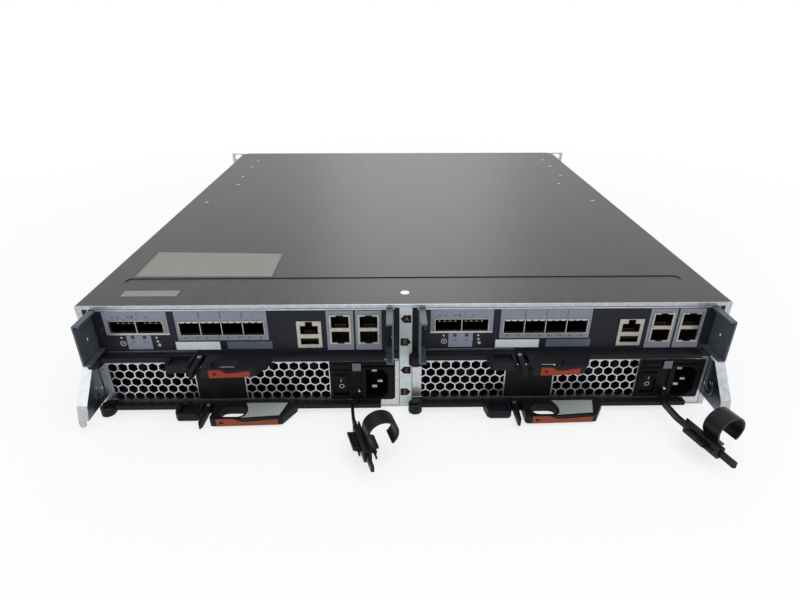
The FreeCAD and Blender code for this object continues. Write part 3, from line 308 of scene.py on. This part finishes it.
satin_paint = grained("pale_satin_paint", ("#cdd7d5", "#dde6e4", 0.0), 0.42, 3.0)
tag_film = grained("brown_polyester_film", ("#1d1210", "#291815", 0.0), 0.4, 2.0, shine=0.1)
tag_ink = grained("tan_screen_ink", ("#8c6a5a", "#a17c69", 0.0), 0.6, 1.0, shine=0.2)
dress(satin_paint, "centre_post")
tags = [slab(ARROW * (way, 1) + (0, level), 0, -PAPER, "rear") for level, text, way in TAGS]
marks = [letters(text, -0.6 * way, level, -PAPER - INK) for level, text, way in TAGS]
piece("post_tags", tags, tag_film, "chassis", (0, REAR, 0))
piece("post_letters", marks, tag_ink, "chassis", (0, REAR, 0))

# ---------------------------------------------------------------- ears and side plates
# Rack ears and side plates are thicker sheet, bright zinc plated, and so a little bluer and glossier than the
# tray. The blade of each side plate is the same zinc as its flange, drawn darker as painted shade. It has a
# shallow pressed boss with a screw head on its rim, and a bright dome on the rim that is a painted highlight.
BLADE_SKIN = 0.1
BOSS = np.array([(6.2, 0.0), (5.8, 0.22), (4.9, 0.22), (4.4, 0.08), (3.2, 0.08), (2.6, 0.3), (1.0, 0.34),
                 (0.1, 0.34)])
BOSS_CENTRE = (-6.6, 20.5, 0)
# the radius, y and z of a screw head, and of a bright steel dome that is a painted highlight on the boss's
# rim
PLATE_SCREW_AND_HIGHLIGHT = ((1.5, -9.3, 25.2), (1.6, -2.6, 20.8))
PLATE_DOME_PROUD = 0.34
flange_tone = ("#a9adb2", "#c4c8cc", 1.0)
blade_shade_tone = ("#60666f", "#777d86", 1.0)
bright_zinc = grained("bright_zinc_plate", flange_tone, 0.36, 4.0)
dress(bright_zinc, "rack_ear_left", "rack_ear_right")
# way points along x from a plate to the middle of the enclosure, and the blade is the plate's innermost sheet
for name, way in (("left", 1), ("right", -1)):
    face = way * max(way * corner.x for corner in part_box("side_plate_" + name)) * 1000
    # the blade, the sheet within BLADE_SKIN of the plate's inner face, takes the darker tone as painted shade
    plate_zinc_with_blade_shade = parted("bright_zinc_flange_dull_blade_" + name, face - way * BLADE_SKIN,
                        *(flange_tone, blade_shade_tone)[::way], 0.36, 4.0, "X")
    dress(plate_zinc_with_blade_shade, "side_plate_" + name)
    boss = turned(BOSS * (1, way), BOSS_CENTRE, "side", 32)
    domes = [turned(dome(radius, PLATE_DOME_PROUD * way), (y, z, 0), "side", 16) for radius, y, z in PLATE_SCREW_AND_HIGHLIGHT]
    piece("side_plate_boss_" + name, [boss], plate_zinc_with_blade_shade, "chassis", (face, REAR, 0))
    piece("side_plate_screw_and_highlight_" + name, domes, bright_steel, "chassis", (face, REAR, 0))

# ---------------------------------------------------------------- module shelves
# A shelf of thin sheet parts each controller from the power supply below it. Its lip is folded down at the
# rear, and is drawn in the ears' bright zinc, lighter than the rest of the shelf, as a painted highlight
# between the two.
LIP_MIDDLE = 111.6
LIP_HALF = 106.4
shelf_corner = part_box("module_shelves")[0]
lips = [slab(rounded(middle - LIP_HALF, middle + LIP_HALF, 0.05, 0.95, 0.1), 0, -1.1, "rear", 0.1)
        for middle in (-LIP_MIDDLE, LIP_MIDDLE)]
piece("shelf_lips", lips, bright_zinc, "chassis",
      (0, shelf_corner.y * 1000, shelf_corner.z * 1000))

# ---------------------------------------------------------------- controllers
# A controller's face is steel in dark blue-grey powder paint with a fine grain. Grey film frames the sockets,
# the shells are nickel plated, and the bare zinc case shows as bright lines at the face's edges. Places are
# counted from the middle of the module's rear face, at the level of the enclosure's base.
BAYS = np.arange(4) * 14.6
LINKS = np.arange(2) * 18.6
LINK_FRAME = (-94.8, -51.5, 63.2, 81.5)
FRAMES = ((LINK_FRAME, (-92.1, -54.3, 64.4, 74.8)),
          ((-46.4, 16.5, 58.5, 81.5), (-44.5, 14.5, 62.4, 73.8)),
          ((57.0, 75.6, 50.0, 81.1), (59.0, 73.8, 55.0, 78.2)),
          ((77.0, 95.0, 50.0, 81.1), (78.7, 93.5, 55.0, 78.2)))
LINK_TAB = (-82, -65, 51.7, 62.8)
LABEL = (-48.8, -18, 51.0, 57.4)
DARK_LABEL = (-12.9, 18.3, 51.4, 57.4)
LINK_LAMPS = (-77.6, -69.4)
CONSOLE = 44.9
JACK_WIRES = ((CONSOLE, 63.5), (66.4, 68.3), (66.4, 64.0), (86.1, 68.3), (86.1, 64.0))
WIRES = (np.arange(8) - 3.5) * 1.02
BUS_CONTACTS = np.array([-3.6, -1.2, 1.2, 3.6])
SYMBOL_THICK = 0.05
SYMBOL_RING = (-85.0, 56.4)
SYMBOLS = ((-85.0, 56.4, 0.6), (-85.4, 61.0, 0.8), (-61.2, 61.0, 0.8), (-60.9, 57.9, 0.9), (-60.2, 55.0, 1.2))
PRINTS = ((-88.4, 0.9, 76.6, 77.6), (-84.6, 0.9, 76.6, 77.6), (-77.6, 0.9, 76.6, 77.8),
          (-74.9, 0.7, 76.0, 78.4), (-71.5, 0.15, 75.8, 80.4), (-65.3, 0.9, 76.6, 77.6))
DIMPLE = np.array([(1.2, 0.0), (1.0, 0.3), (0.5, 0.5), (0.1, 0.52)])
BRACKET_WEB = 1.2
BLANK_HOLE = (-98.7, 66.6, 0)


def rear_middle(node):
    """The point that a module's places are counted from: midway between its sides, at REAR and at z 0."""
    low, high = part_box(node)
    return (low.x + high.x) * 500, REAR, 0.0


def stuck(left, right, low, high):
    """A patch of film on the rear face."""
    return slab(rounded(left, right, low, high), 0, -PAPER, "rear")


def row(places, wide, low, high, start, end, radius=0.01, soften=0.0):
    """Equal small blocks, one about each place along x, between two heights and two depths."""
    return [slab(rounded(x - wide / 2, x + wide / 2, low, high, radius), start, end, "rear", soften)
            for x in places]


def hoop(centre, outer, inner, start, end):
    """A flat ring that faces the rear: one circle stretched to the outer size, and one to the inner."""
    return window(circle(24) * outer + centre, circle(24) * inner + centre, start, end, "rear")


powder_paint = grained("blue_grey_powder_paint", ("#15161e", "#1e202a", 0.0), 0.5, 0.9, shine=0.22)
pale_ink = grained("pale_screen_ink", ("#a09e99", "#b5b3ae", 0.0), 0.6, 1.0)
grey_film = grained("grey_printed_film", ("#7b808d", "#8b909c", 0.0), 0.5, 2.0, shine=0.2)
shaded_film = grained("dark_grey_printed_film", ("#555967", "#636775", 0.0), 0.5, 2.0, shine=0.2)
white_film = grained("white_printed_film", ("#d0d2d6", "#e2e4e7", 0.0), 0.5, 2.0)
nickel_tone = ("#a19d92", "#c2beb3", 1.0)
nickel = grained("nickel_plated_shell", nickel_tone, 0.32, 2.0)
dark_steel = grained("dark_passivated_steel", ("#484d55", "#5d636b", 0.35), 0.45, 3.0)
dull_zinc = grained("dull_zinc_edge", ("#6b6d74", "#7d7f86", 1.0), 0.4, 3.0)
gold = grained("gold_plated_contact", ("#7d6334", "#a48b55", 1.0), 0.3, 0.6)
lamp_lens = grained("smoked_lamp_lens", ("#0c0d10", "#16181c", 0.0), 0.2, 1.0)
black_moulding = grained("black_moulded_pbt", ("#070709", "#0f0f12", 0.0), 0.45, 0.5, shine=0.12)

# a jack is a black moulding in a nickel-plated shell, and only the shell's rim shows outside the face
shell_and_insert = parted("nickel_shell_with_black_insert", REAR + 0.3, nickel_tone,
                          ("#0b0a0a", "#161412", 0.0), 0.35, 2.0)
# a transceiver cage is nickel all through, and deeper than 2 mm inside the face it is drawn dark as painted
# shade
nickel_cage_with_painted_shade = parted("nickel_cage_painted_shade_inside", REAR + 2.0, nickel_tone,
                        ("#1d1a17", "#2a2622", 1.0), 0.35, 2.0)

# the film, the lamps beside the sockets, and the thin lines that part the film over the transceiver bays
film = [window(rounded(*outer), rounded(*inner), 0, -PAPER, "rear") for outer, inner in FRAMES]
film.append(stuck(*LINK_TAB))
lamps = row(LINK_LAMPS, 2.4, 60.1, 62.5, 0, -0.25, 0.2, 0.05)
lamps += [turned([(0.55, 0.0), (0.5, -0.2), (0.1, -0.25)], (x, 60.4, 0), "rear", 12)
          for x in np.add.outer(BAYS - 36.9, (-4.0, 4.0)).ravel()]
lamps += row(BAYS[1:] - 44.2, 0.4, 75.5, 81.0, -PAPER, -0.12)

# spring fingers along the mouth of each cage, and the tongue of each shelf link with its row of gold contacts
fingers = row(np.add.outer(BAYS, (-41.4, -37.0, -32.4)).ravel(), 3.4, 72.5, 73.5, -0.9, 2.5, 0.1, 0.15)
tongues = row(LINKS - 82.5, 14.0, 69.0, 70.1, 5.5, 23.8, 0.1, 0.1)
tongue_ends = row(np.add.outer(LINKS, np.linspace(-88.3, -76.9, 4)).ravel(), 0.9, 69.2, 69.9, 5.5, 5.3, 0.1)
contacts = row(np.add.outer(LINKS, np.linspace(-88.5, -76.5, 8)).ravel(), 0.7, 68.8, 69.0, 5.6, 12.0)

# the wires of each jack, and the tongue and contacts of the bus socket under the console jack
for x, low in JACK_WIRES:
    contacts += row(x + WIRES, 0.4, low, low + 0.8, 2.2, 9.0, 0.1, 0.05)
tongues += row([CONSOLE], 11.2, 57.3, 59.0, 0.4, 12.0, 0.1, 0.1)
contacts += row(CONSOLE + BUS_CONTACTS, 1.0, 57.1, 57.3, 0.8, 9.0)

# the pictograms below the shelf links, and the dark marks on the film
symbols = [hoop(SYMBOL_RING, 2.1, 1.5, 0, -SYMBOL_THICK)]
symbols += [turned([(radius, 0.0), (radius, -SYMBOL_THICK), (0.05, -SYMBOL_THICK)], (x, z, 0), "rear", 16)
            for x, z, radius in SYMBOLS]
prints = [slab(rounded(x - half, x + half, low, high), -PAPER, -PAPER - INK, "rear")
          for x, half, low, high in PRINTS]
prints += [hoop((x, 57.6), (1.5, 0.9), (1.1, 0.5), -PAPER, -PAPER - INK) for x in LINK_LAMPS]
# a dark flush disc stands in for a small hole in the face: painted shade
hole_shade_disc = turned([(1.5, 0.0), (1.4, -0.06), (0.1, -0.06)], BLANK_HOLE, "rear", 18)

# the bright lip along the foot of the links' frame, and the bare zinc edge of the case below it, drawn only
# over the lever's left part: partly a real edge, partly a painted highlight
link_lip = slab(rounded(*LINK_FRAME[:3], LINK_FRAME[2] + 1.1, 0.1), 0, -0.3, "rear", 0.05)
case_edge_highlight = slab(rounded(-101, -35, 48.3, 50.3, 0.1), 0, -0.4, "rear", 0.1)

for name in ("left", "right"):
    body = "controller_" + name
    tag = body + "_"
    origin = rear_middle(tag + "case")
    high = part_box(tag + "case")[1].z * 1000
    top_fold = slab(rounded(-104, 104, high - 1.0, high, 0.1), 0.4, -0.35, "rear", 0.1)
    # the pressed dimple in each bracket's web, drawn in bright steel against the bracket's dark steel as a
    # painted highlight
    web = [corner.x * 1000 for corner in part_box(tag + "brackets")]
    dimple_highlights = [turned(DIMPLE * (1, way), (-10, 66.0, x + way * BRACKET_WEB), "side", 18)
             for x, way in zip(web, (1, -1))]
    dress(bright_zinc, tag + "case")
    dress(powder_paint, tag + "face")
    dress(nickel_cage_with_painted_shade, tag + "port_cages")
    dress(shell_and_insert, tag + "jacks")
    dress(dark_steel, tag + "brackets")
    piece(tag + "film", film, grey_film, body, origin)
    piece(tag + "dark_label", [stuck(*DARK_LABEL)], shaded_film, body, origin)
    piece(tag + "label", [stuck(*LABEL)], white_film, body, origin)
    piece(tag + "top_fold", [top_fold], bright_zinc, body, origin)
    piece(tag + "lamps", lamps, lamp_lens, body, origin)
    piece(tag + "cage_fingers", fingers, bright_steel, body, origin)
    piece(tag + "tongues", tongues, black_moulding, body, origin)
    piece(tag + "contacts", contacts, gold, body, origin)
    piece(tag + "tongue_ends", tongue_ends, nickel, body, origin)
    piece(tag + "link_lip", [link_lip], bright_zinc, body, origin)
    piece(tag + "pictograms", symbols, pale_ink, body, origin)
    piece(tag + "film_prints", prints, shaded_film, body, origin)
    piece(tag + "dimple_highlights", dimple_highlights, bright_steel, body, (0, REAR, 0))
    piece(tag + "hole_shade_disc", [hole_shade_disc], lamp_lens, body, origin)
    piece(tag + "case_edge_highlight", [case_edge_highlight], dull_zinc, body, origin)

# ---------------------------------------------------------------- power supplies
# A power supply's face is bright zinc sheet punched with six-sided holes, with a bare black panel in the
# middle. The power entry is one moulding in black PBT, and its blades are nickel-plated brass.
ENTRY_PROUD = 1.2
FRAME_PROUD = 2.0
INLET = (91.2, 22.4)
BLADES = ((-2.1, -6.3), (-2.1, 7.8), (2, -1.5))
ROCKER_LEVELS = (12.3, 21.4, 30.5)
ROCKER_DEPTHS = (-0.2, -0.9, -3.4)
MARK_THICK = 0.08
MARK_LIFT = 0.02

punched_sheet = parted("punched_bright_zinc_dark_stud", REAR - 0.3, ("#26282b", "#3a3d41", 1.0),
                       ("#b9babf", "#d9dade", 1.0), 0.34, 2.5)
bare_film = grained("black_polyester_film", ("#09090b", "#111114", 0.0), 0.38, 1.5, shine=0.15)

panel = slab(rounded(-39.3, -4.6, 8.6, 36, 0.8), 0, -0.2, "rear", 0.05)
blade = rounded(-2.05, 2.05, -1.05, 1.05, 0.3) + INLET
blades = [slab(blade + place, 2.9, 13.4, "rear", 0.3) for place in BLADES]

# the raised frame round the rocker, the tab above it, and the bright pin that anchors the cord strap
rocker_frame = [window(rounded(58.2, 72.4, 9.4, 33.4, 0.8), rounded(59.6, 70.8, 11.9, 30.9, 0.3),
                       -ENTRY_PROUD, -FRAME_PROUD, "rear"),
                slab(rounded(60, 71, 35.2, 38.2, 0.6), -ENTRY_PROUD, -FRAME_PROUD, "rear", 0.2)]
pin = turned([(1.3, 0.0), (1.3, -1.6), (0.9, -2.2), (0.1, -2.3)], (78, 16.4, -ENTRY_PROUD), "rear", 16)

# the I and the O lie on the rocker's bent face, whose depth is straight from its low edge to its bend, and
# from there to its high edge
marks = [slab(rounded(64.9, 65.5, 23.6, 26.6, 0.1), 0, -MARK_THICK, "rear"),
         hoop((65.4, 19.3), 1.85, 1.3, 0, -MARK_THICK)]
for points, faces in marks:
    points[:, 1] += np.interp(points[:, 2], ROCKER_LEVELS, ROCKER_DEPTHS) - MARK_LIFT

for name in ("left", "right"):
    body = "supply_" + name
    tag = body + "_"
    origin = rear_middle(tag + "case")
    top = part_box(tag + "grille")[1].z * 1000
    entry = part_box(tag + "power_entry")[0].y * 1000 - REAR
    # the sheet's bright top edge, and the tongue of sheet that holds the power entry down
    top_edge = slab(rounded(-106, 106, top - 0.8, top, 0.1), 0, -0.3, "rear", 0.1)
    entry_tongue = slab(rounded(73.7, 79.8, 33.5, 40.0, 0.4), entry, entry - 0.25, "rear", 0.1)
    dress(bright_zinc, tag + "case")
    dress(punched_sheet, tag + "grille")
    dress(black_moulding, tag + "power_entry", tag + "rocker", tag + "fan_frames", tag + "rotor_outer",
          tag + "rotor_inner")
    piece(tag + "bare_panel", [panel], bare_film, body, origin)
    piece(tag + "inlet_blades", blades, nickel, body, origin)
    piece(tag + "rocker_frame", rocker_frame, black_moulding, body, origin)
    piece(tag + "rocker_marks", marks, pale_ink, tag + "rocker", origin)
    piece(tag + "top_edge", [top_edge], bright_zinc, body, origin)
    piece(tag + "entry_tongue", [entry_tongue], dull_zinc, body, origin)
    piece(tag + "strap_pin", [pin], bright_steel, body, origin)

# ---------------------------------------------------------------- levers
# Each cam lever is moulded in black glass-filled nylon with a fine spark-eroded grain. An orange strip snaps
# on the rear of its grip, and a grey plate is let into the top of a supply lever's grip.
GRIP_LEFT = -27
GRIP_EDGE = (-22.8, -21.2)
STRIP_LIFT = 0.2
PLATE_OUTLINE = [(-4.5, -4.4), (25.6, -4.4), (21.8, -18.6), (-4.6, -21.0), (-2.2, -19.0), (-1.4, -14.4),
                 (-2.2, -9.6)]
PIVOT = (-104.85, -6.5)
LATCH_PIVOT = (-32.0, -5.7)
# for each kind of lever: the grip's low level, the strip's left and right ends, and the grip's right end
LEVERS = (("controller", 42.3, -21, 6.2, 9.0), ("supply", 1.3, -22, 21.2, 24.0))

glass_nylon = grained("black_glass_filled_nylon", ("#0f1014", "#191a1f", 0.0), 0.5, 0.4, shine=0.18)
# one orange nylon on both kinds of lever; the controllers' copy is drawn darker and redder as painted shade
orange = {"controller": grained("orange_nylon_painted_shade", ("#833220", "#9c3e2a", 0.0), 0.42, 0.6, shine=0.15),
          "supply": grained("orange_nylon_of_supply_levers", ("#7b3e27", "#964f37", 0.0), 0.42, 0.6, shine=0.15)}
plate_film = grained("pale_grey_plate", ("#9a9e9b", "#b0b4b1", 0.0), 0.45, 1.2, shine=0.3)


def eased(value, start, end):
    """A smooth rise from 0 to 1 between a start and an end: three times the square less twice the cube."""
    share = np.clip((value - start) / (end - start), 0, 1)
    return share * share * (3 - 2 * share)


def grip_depth(x, grip):
    """How far back the grip's rear edge lies at a place along x: it is straight between its two ends."""
    return np.interp(x, (GRIP_LEFT, grip), GRIP_EDGE)


def grip_strip(left, right, grip, low, tall):
    """A strip along the grip's rear edge: its square section is carried from its left end to its right.

    Its top dips by 0.45 of its height after the mark and rises again by 0.2, in two smooth steps."""
    share = np.linspace(0, 1, 25)
    x = left + share * (right - left)
    depth = grip_depth(x, grip)
    base = np.full(len(x), low)
    crest = low + tall * (1 - 0.45 * eased(share, 0.24, 0.44) + 0.2 * eased(share, 0.5, 1.0))
    corners = ((depth - 0.45, base), (depth + 0.05, base), (depth + 0.05, crest), (depth - 0.45, crest))
    return carried(np.stack([np.column_stack([x, y, z]) for y, z in corners], 1))


for kind, level, left, right, grip in LEVERS:
    for name in ("left", "right"):
        body = kind + "_" + name
        tag = body + "_"
        origin = rear_middle(tag + "case")
        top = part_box(tag + "lever")[1].z * 1000
        strip = grip_strip(left, right, grip, level + STRIP_LIFT, top - level - STRIP_LIFT)
        depth = grip_depth(left + 4, grip) - 0.5
        mark = slab([(left + 2.0, level + 1.4), (left + 5.6, level + 3.2), (left + 2.0, level + 5.0)], depth,
                    depth + 0.2, "rear")
        # a row of shallow ribs along the bar, as the mould leaves them
        ribs = [slab(rounded(x, x + 2.0, -6.2, -2.6, 0.3), top, top + 0.3, "top", 0.1)
                for x in np.arange(-94, -58, 5.0)]
        # the lever turns on a stud of the module's face, whose bright end shows in its eye, and its latch
        # turns on a steel rivet
        stud = turned([(1.9, 0.0), (1.8, 0.25), (1.0, 0.35), (0.1, 0.35)], (*PIVOT, top), "top", 20)
        rivet = turned([(1.6, 0.0), (1.5, 0.35), (0.9, 0.5), (0.1, 0.5)], (*LATCH_PIVOT, top), "top", 16)
        dress(glass_nylon, tag + "lever", tag + "latch")
        piece(tag + "grip_strip", [strip], orange[kind], tag + "lever", origin)
        piece(tag + "grip_mark", [mark], bare_film, tag + "lever", origin)
        if kind == "supply":
            plate = slab(PLATE_OUTLINE, top, top + 0.1, "top")
            piece(tag + "grip_plate", [plate], plate_film, tag + "lever", origin)
        piece(tag + "lever_ribs", ribs, glass_nylon, tag + "lever", origin)
        piece(tag + "stud_end", [stud], bright_steel, body, origin)
        piece(tag + "latch_rivet", [rivet], bright_steel, tag + "latch", origin)

# ---------------------------------------------------------------- cord retainers
# Strap and clip are moulded in flexible black nylon, smoother and a little glossier than the levers. Fine
# ratchet teeth along the strap hold the clip's pawl. The clip is one moulding: a channel round the strap, two
# sloping wings with fingers to squeeze, and an open ring for the power cord.
STRAP_ANGLE = math.radians(17.4)
STRAP_LEVEL = 12.0
STRAP_HALF = 1.1
KNEE = np.array([75.4, -31.0])
TOOTH_LONG = 1.4
TOOTH_PROUD = 0.22
CLIP_REACH = 21.0


def placed(shell, origin, angle):
    """A shell turned about the vertical by an angle, and then moved to its origin."""
    points, faces = shell
    turn = np.array([[math.cos(angle), math.sin(angle), 0],
                     [-math.sin(angle), math.cos(angle), 0],
                     [0, 0, 1]])
    return points @ turn + origin, faces


def arc_band(centre, inner, outer, start, end, first, last):
    """A band bent round part of a circle, from the first angle to the last. Both are in degrees."""
    turn = np.radians(np.linspace(first, last, 44))[:, None]
    radius = np.array([inner, outer, outer, inner])
    across = centre[0] + radius * np.cos(turn)
    depth = np.broadcast_to([start, start, end, end], across.shape)
    return carried(np.stack([across, depth, centre[1] + radius * np.sin(turn)], -1))


soft_nylon = grained("black_flexible_nylon", ("#0c0c0f", "#17171b", 0.0), 0.38, 0.8, shine=0.25)

along = np.array([math.sin(STRAP_ANGLE), -math.cos(STRAP_ANGLE)])
across = np.array([along[1], -along[0]])
teeth = []
for reach in np.arange(3, 45, 2.4):
    for hand in (-1, 1):
        foot = KNEE + along * reach + across * hand * STRAP_HALF
        tip = foot + along * 0.2 + across * hand * TOOTH_PROUD
        teeth.append(slab([foot, foot + along * TOOTH_LONG, tip], 10.2, 13.8, "top"))

# the clip in its own frame, with x across the strap, y along it towards the enclosure and z up: the channel,
# the left wing and the right, a finger behind each, the tab, the ring, and the bead at the ring's end
moulding = [window(rounded(-2.8, 2.8, -3.8, 3.8, 0.7), rounded(-1.5, 1.5, -2.7, 2.7, 0.2),
                   -16.5, 12.0, "rear"),
            slab([(-7.6, 0.4), (-7.6, 2.8), (-2.6, 1.6), (-2.6, -2.4)], -8.4, 8.0, "rear", 0.3),
            slab([(2.6, -3.2), (2.6, 0.6), (8.2, -3.6), (8.0, -6.4)], -9.2, 7.4, "rear", 0.3),
            slab(rounded(-5.0, -3.8, -1.2, 0.8, 0.3), -13.0, -8.0, "rear", 0.2),
            slab(rounded(5.6, 6.8, -5.4, -3.4, 0.3), -14.6, -9.0, "rear", 0.2),
            slab(rounded(1.6, 2.8, 0.2, 3.6, 0.3), 11.6, 15.4, "rear", 0.3),
            arc_band((12.0, 9.5), 9.3, 10.8, -10.5, 2.0, -48, 252),
            turned([(0.05, 0.0), (1.05, 0.2), (1.05, 12.3), (0.05, 12.5)], (18.7, 2.0, -10.5), "rear", 16)]
clip_middle = np.append(KNEE + along * CLIP_REACH, STRAP_LEVEL)
moulding = [placed(shell, clip_middle, STRAP_ANGLE) for shell in moulding]

for name in ("left", "right"):
    tag = "supply_%s_" % name
    origin = rear_middle(tag + "case")
    dress(soft_nylon, tag + "cord_strap")
    piece(tag + "strap_teeth", teeth, soft_nylon, "supply_" + name, origin)
    clip = piece(tag + "clip_moulding", moulding, soft_nylon, tag + "cord_clip", origin)
    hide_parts(tag + "cord_clip")

# ---------------------------------------------------------------- disk carriers
# A carrier's bezel and rails are dark moulded plastic round a disk drive with a cast aluminium body. Slots
# let air in above and below the handle, with two lamps at one end and a release button at the other. Places
# are counted from the middle of the bezel's sunk face.
CARRIERS = 12
BEZEL_BACK = 235.5
BEZEL_SUNK = 2.2
SLOT_LONG = 4.4
SLOT_HALF = 1.2
SLOT_ROW = 10.3

carrier_finish = parted("cast_aluminium_behind_dark_bezel", BEZEL_BACK, ("#8b8e90", "#b2b5b7", 1.0),
                        ("#1d1f23", "#303338", 0.0), 0.45, 1.4)
button_nylon = grained("grey_release_button", ("#5c6066", "#74797f", 0.0), 0.4, 0.8)

# the air slots are flush dark patches, painted shade in place of the openings
slots = [slab(rounded(x, x + SLOT_LONG, z - SLOT_HALF, z + SLOT_HALF, 0.8), -0.2, 0.15, "rear")
         for x in np.arange(-40, 38, 6.0) for z in (-SLOT_ROW, SLOT_ROW)]
# the release button, and the ridge along the closed handle
button = [slab(rounded(-52.0, -45.5, -5, 5, 1.2), -0.3, 1.2, "rear", 0.4),
          slab(rounded(-36, 36, -1.0, 1.0, 0.6), 2.0, 2.2, "rear", 0.05)]
lamps = [turned([(1.1, -0.2), (1.1, 0.15), (0.8, 0.4), (0.1, 0.45)], (49.0, z, 0), "rear", 14)
         for z in (-4.0, 4.0)]
for number in range(1, CARRIERS + 1):
    node = "disk_carrier_%02d" % number
    low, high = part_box(node)
    origin = ((low.x + high.x) * 500, high.y * 1000 - BEZEL_SUNK, (low.z + high.z) * 500)
    dress(carrier_finish, node)
    piece(node + "_air_slot_painted_shade", slots, lamp_lens, node, origin)
    piece(node + "_button", button, button_nylon, node, origin)
    piece(node + "_lamps", lamps, white_film, node, origin)

# ---------------------------------------------------------------- floor, light and camera
# The floor is plain matt white, and fades to a pure white ground away from the object. One broad soft lamp
# hangs over the rear, a weaker one fills from the rear on the left, and one far in front is mirrored in the
# roof. Sizes here are in metres.
FLOOR_HALF = 6
FLOOR_LEVEL = -0.0004


def white_ground(tree, path):
    """1 where a ray from the camera, a mirror or glass arrives, so that those see the plain white ground."""
    seen = add(tree, "ShaderNodeMath", [(0, path, "Is Camera Ray"), (1, path, "Is Glossy Ray")],
               operation="MAXIMUM")
    both = add(tree, "ShaderNodeMath", [(0, seen, 0), (1, path, "Is Transmission Ray")], operation="MAXIMUM")
    return both


floor_mesh = bpy.data.meshes.new("floor")
corners = np.array([(-1, -1), (1, -1), (1, 1), (-1, 1)]) * FLOOR_HALF
floor_mesh.from_pydata(laid(corners, FLOOR_LEVEL, "top").tolist(), [], [(0, 1, 2, 3)])
floor = bpy.data.objects.new("floor", floor_mesh)
bpy.context.scene.collection.objects.link(floor)
floor_paint, tree, shader = material("matt_white_floor", "#fafafa", 0.0, 0.9)
shader.inputs["Specular IOR Level"].default_value = 0.1
seen = white_ground(tree, add(tree, "ShaderNodeLightPath"))
from_middle = add(tree, "ShaderNodeVectorMath", [(0, add(tree, "ShaderNodeTexCoord"), "Object")],
                  operation="LENGTH")
fade = add(tree, "ShaderNodeMapRange", [("Value", from_middle, "Value")], From_Min=0.25, From_Max=0.9,
           To_Min=0.72, To_Max=1.0, interpolation_type="SMOOTHSTEP")
share = add(tree, "ShaderNodeMath", [(0, seen, 0), (1, fade, "Result")], operation="MULTIPLY")
ground = add(tree, "ShaderNodeEmission", Color=(1, 1, 1, 1), Strength=1.0)
laid_over = add(tree, "ShaderNodeMixShader", [(0, share, 0), (1, shader, "BSDF"), (2, ground, 0)])
tree.links.new(laid_over.outputs[0], tree.nodes["Material Output"].inputs["Surface"])
floor_mesh.materials.append(floor_paint)

world = bpy.data.worlds.new("studio")
bpy.context.scene.world = world
world.use_nodes = True
tree = world.node_tree
tree.nodes.clear()
seen = white_ground(tree, add(tree, "ShaderNodeLightPath"))
soft = add(tree, "ShaderNodeBackground", Color=linear("#eef1f6"), Strength=0.62)
white = add(tree, "ShaderNodeBackground", Color=(1, 1, 1, 1), Strength=1.0)
chosen = add(tree, "ShaderNodeMixShader", [(0, seen, 0), (1, soft, 0), (2, white, 0)])
add(tree, "ShaderNodeOutputWorld", [("Surface", chosen, 0)])


def soft_lamp(name, watts, size, place, aim):
    """A square lamp at a place, turned to face its aim."""
    lamp = bpy.data.lights.new(name, "AREA")
    lamp.energy = watts
    lamp.size = size
    holder = bpy.data.objects.new(name, lamp)
    bpy.context.scene.collection.objects.link(holder)
    x, y, z = (a - b for a, b in zip(place, aim))
    holder.location = place
    holder.rotation_euler = (math.atan2(math.hypot(x, y), z), 0, math.atan2(x, -y))


soft_lamp("overhead", 14, 1.6, (0.3, -0.5, 1.7), (0, 0, 0.05))
soft_lamp("fill", 5, 1.2, (-0.9, -1.4, 0.9), (0, -0.2, 0.04))
soft_lamp("mirrored", 5.5, 1.0, (0.12, 2.3, 1.3), (0.02, -0.1, 0.08))

camera = bpy.data.cameras.new("camera")
camera.lens = 24.76
camera.sensor_width = 36
eye = bpy.data.objects.new("camera", camera)
bpy.context.scene.collection.objects.link(eye)
eye.location = (-0.0088, -0.5735, 0.2564)
eye.rotation_euler = (math.radians(90 - 26.79), 0, math.radians(-0.82))
bpy.context.scene.camera = eye
bpy.context.scene.view_settings.view_transform = "Standard"
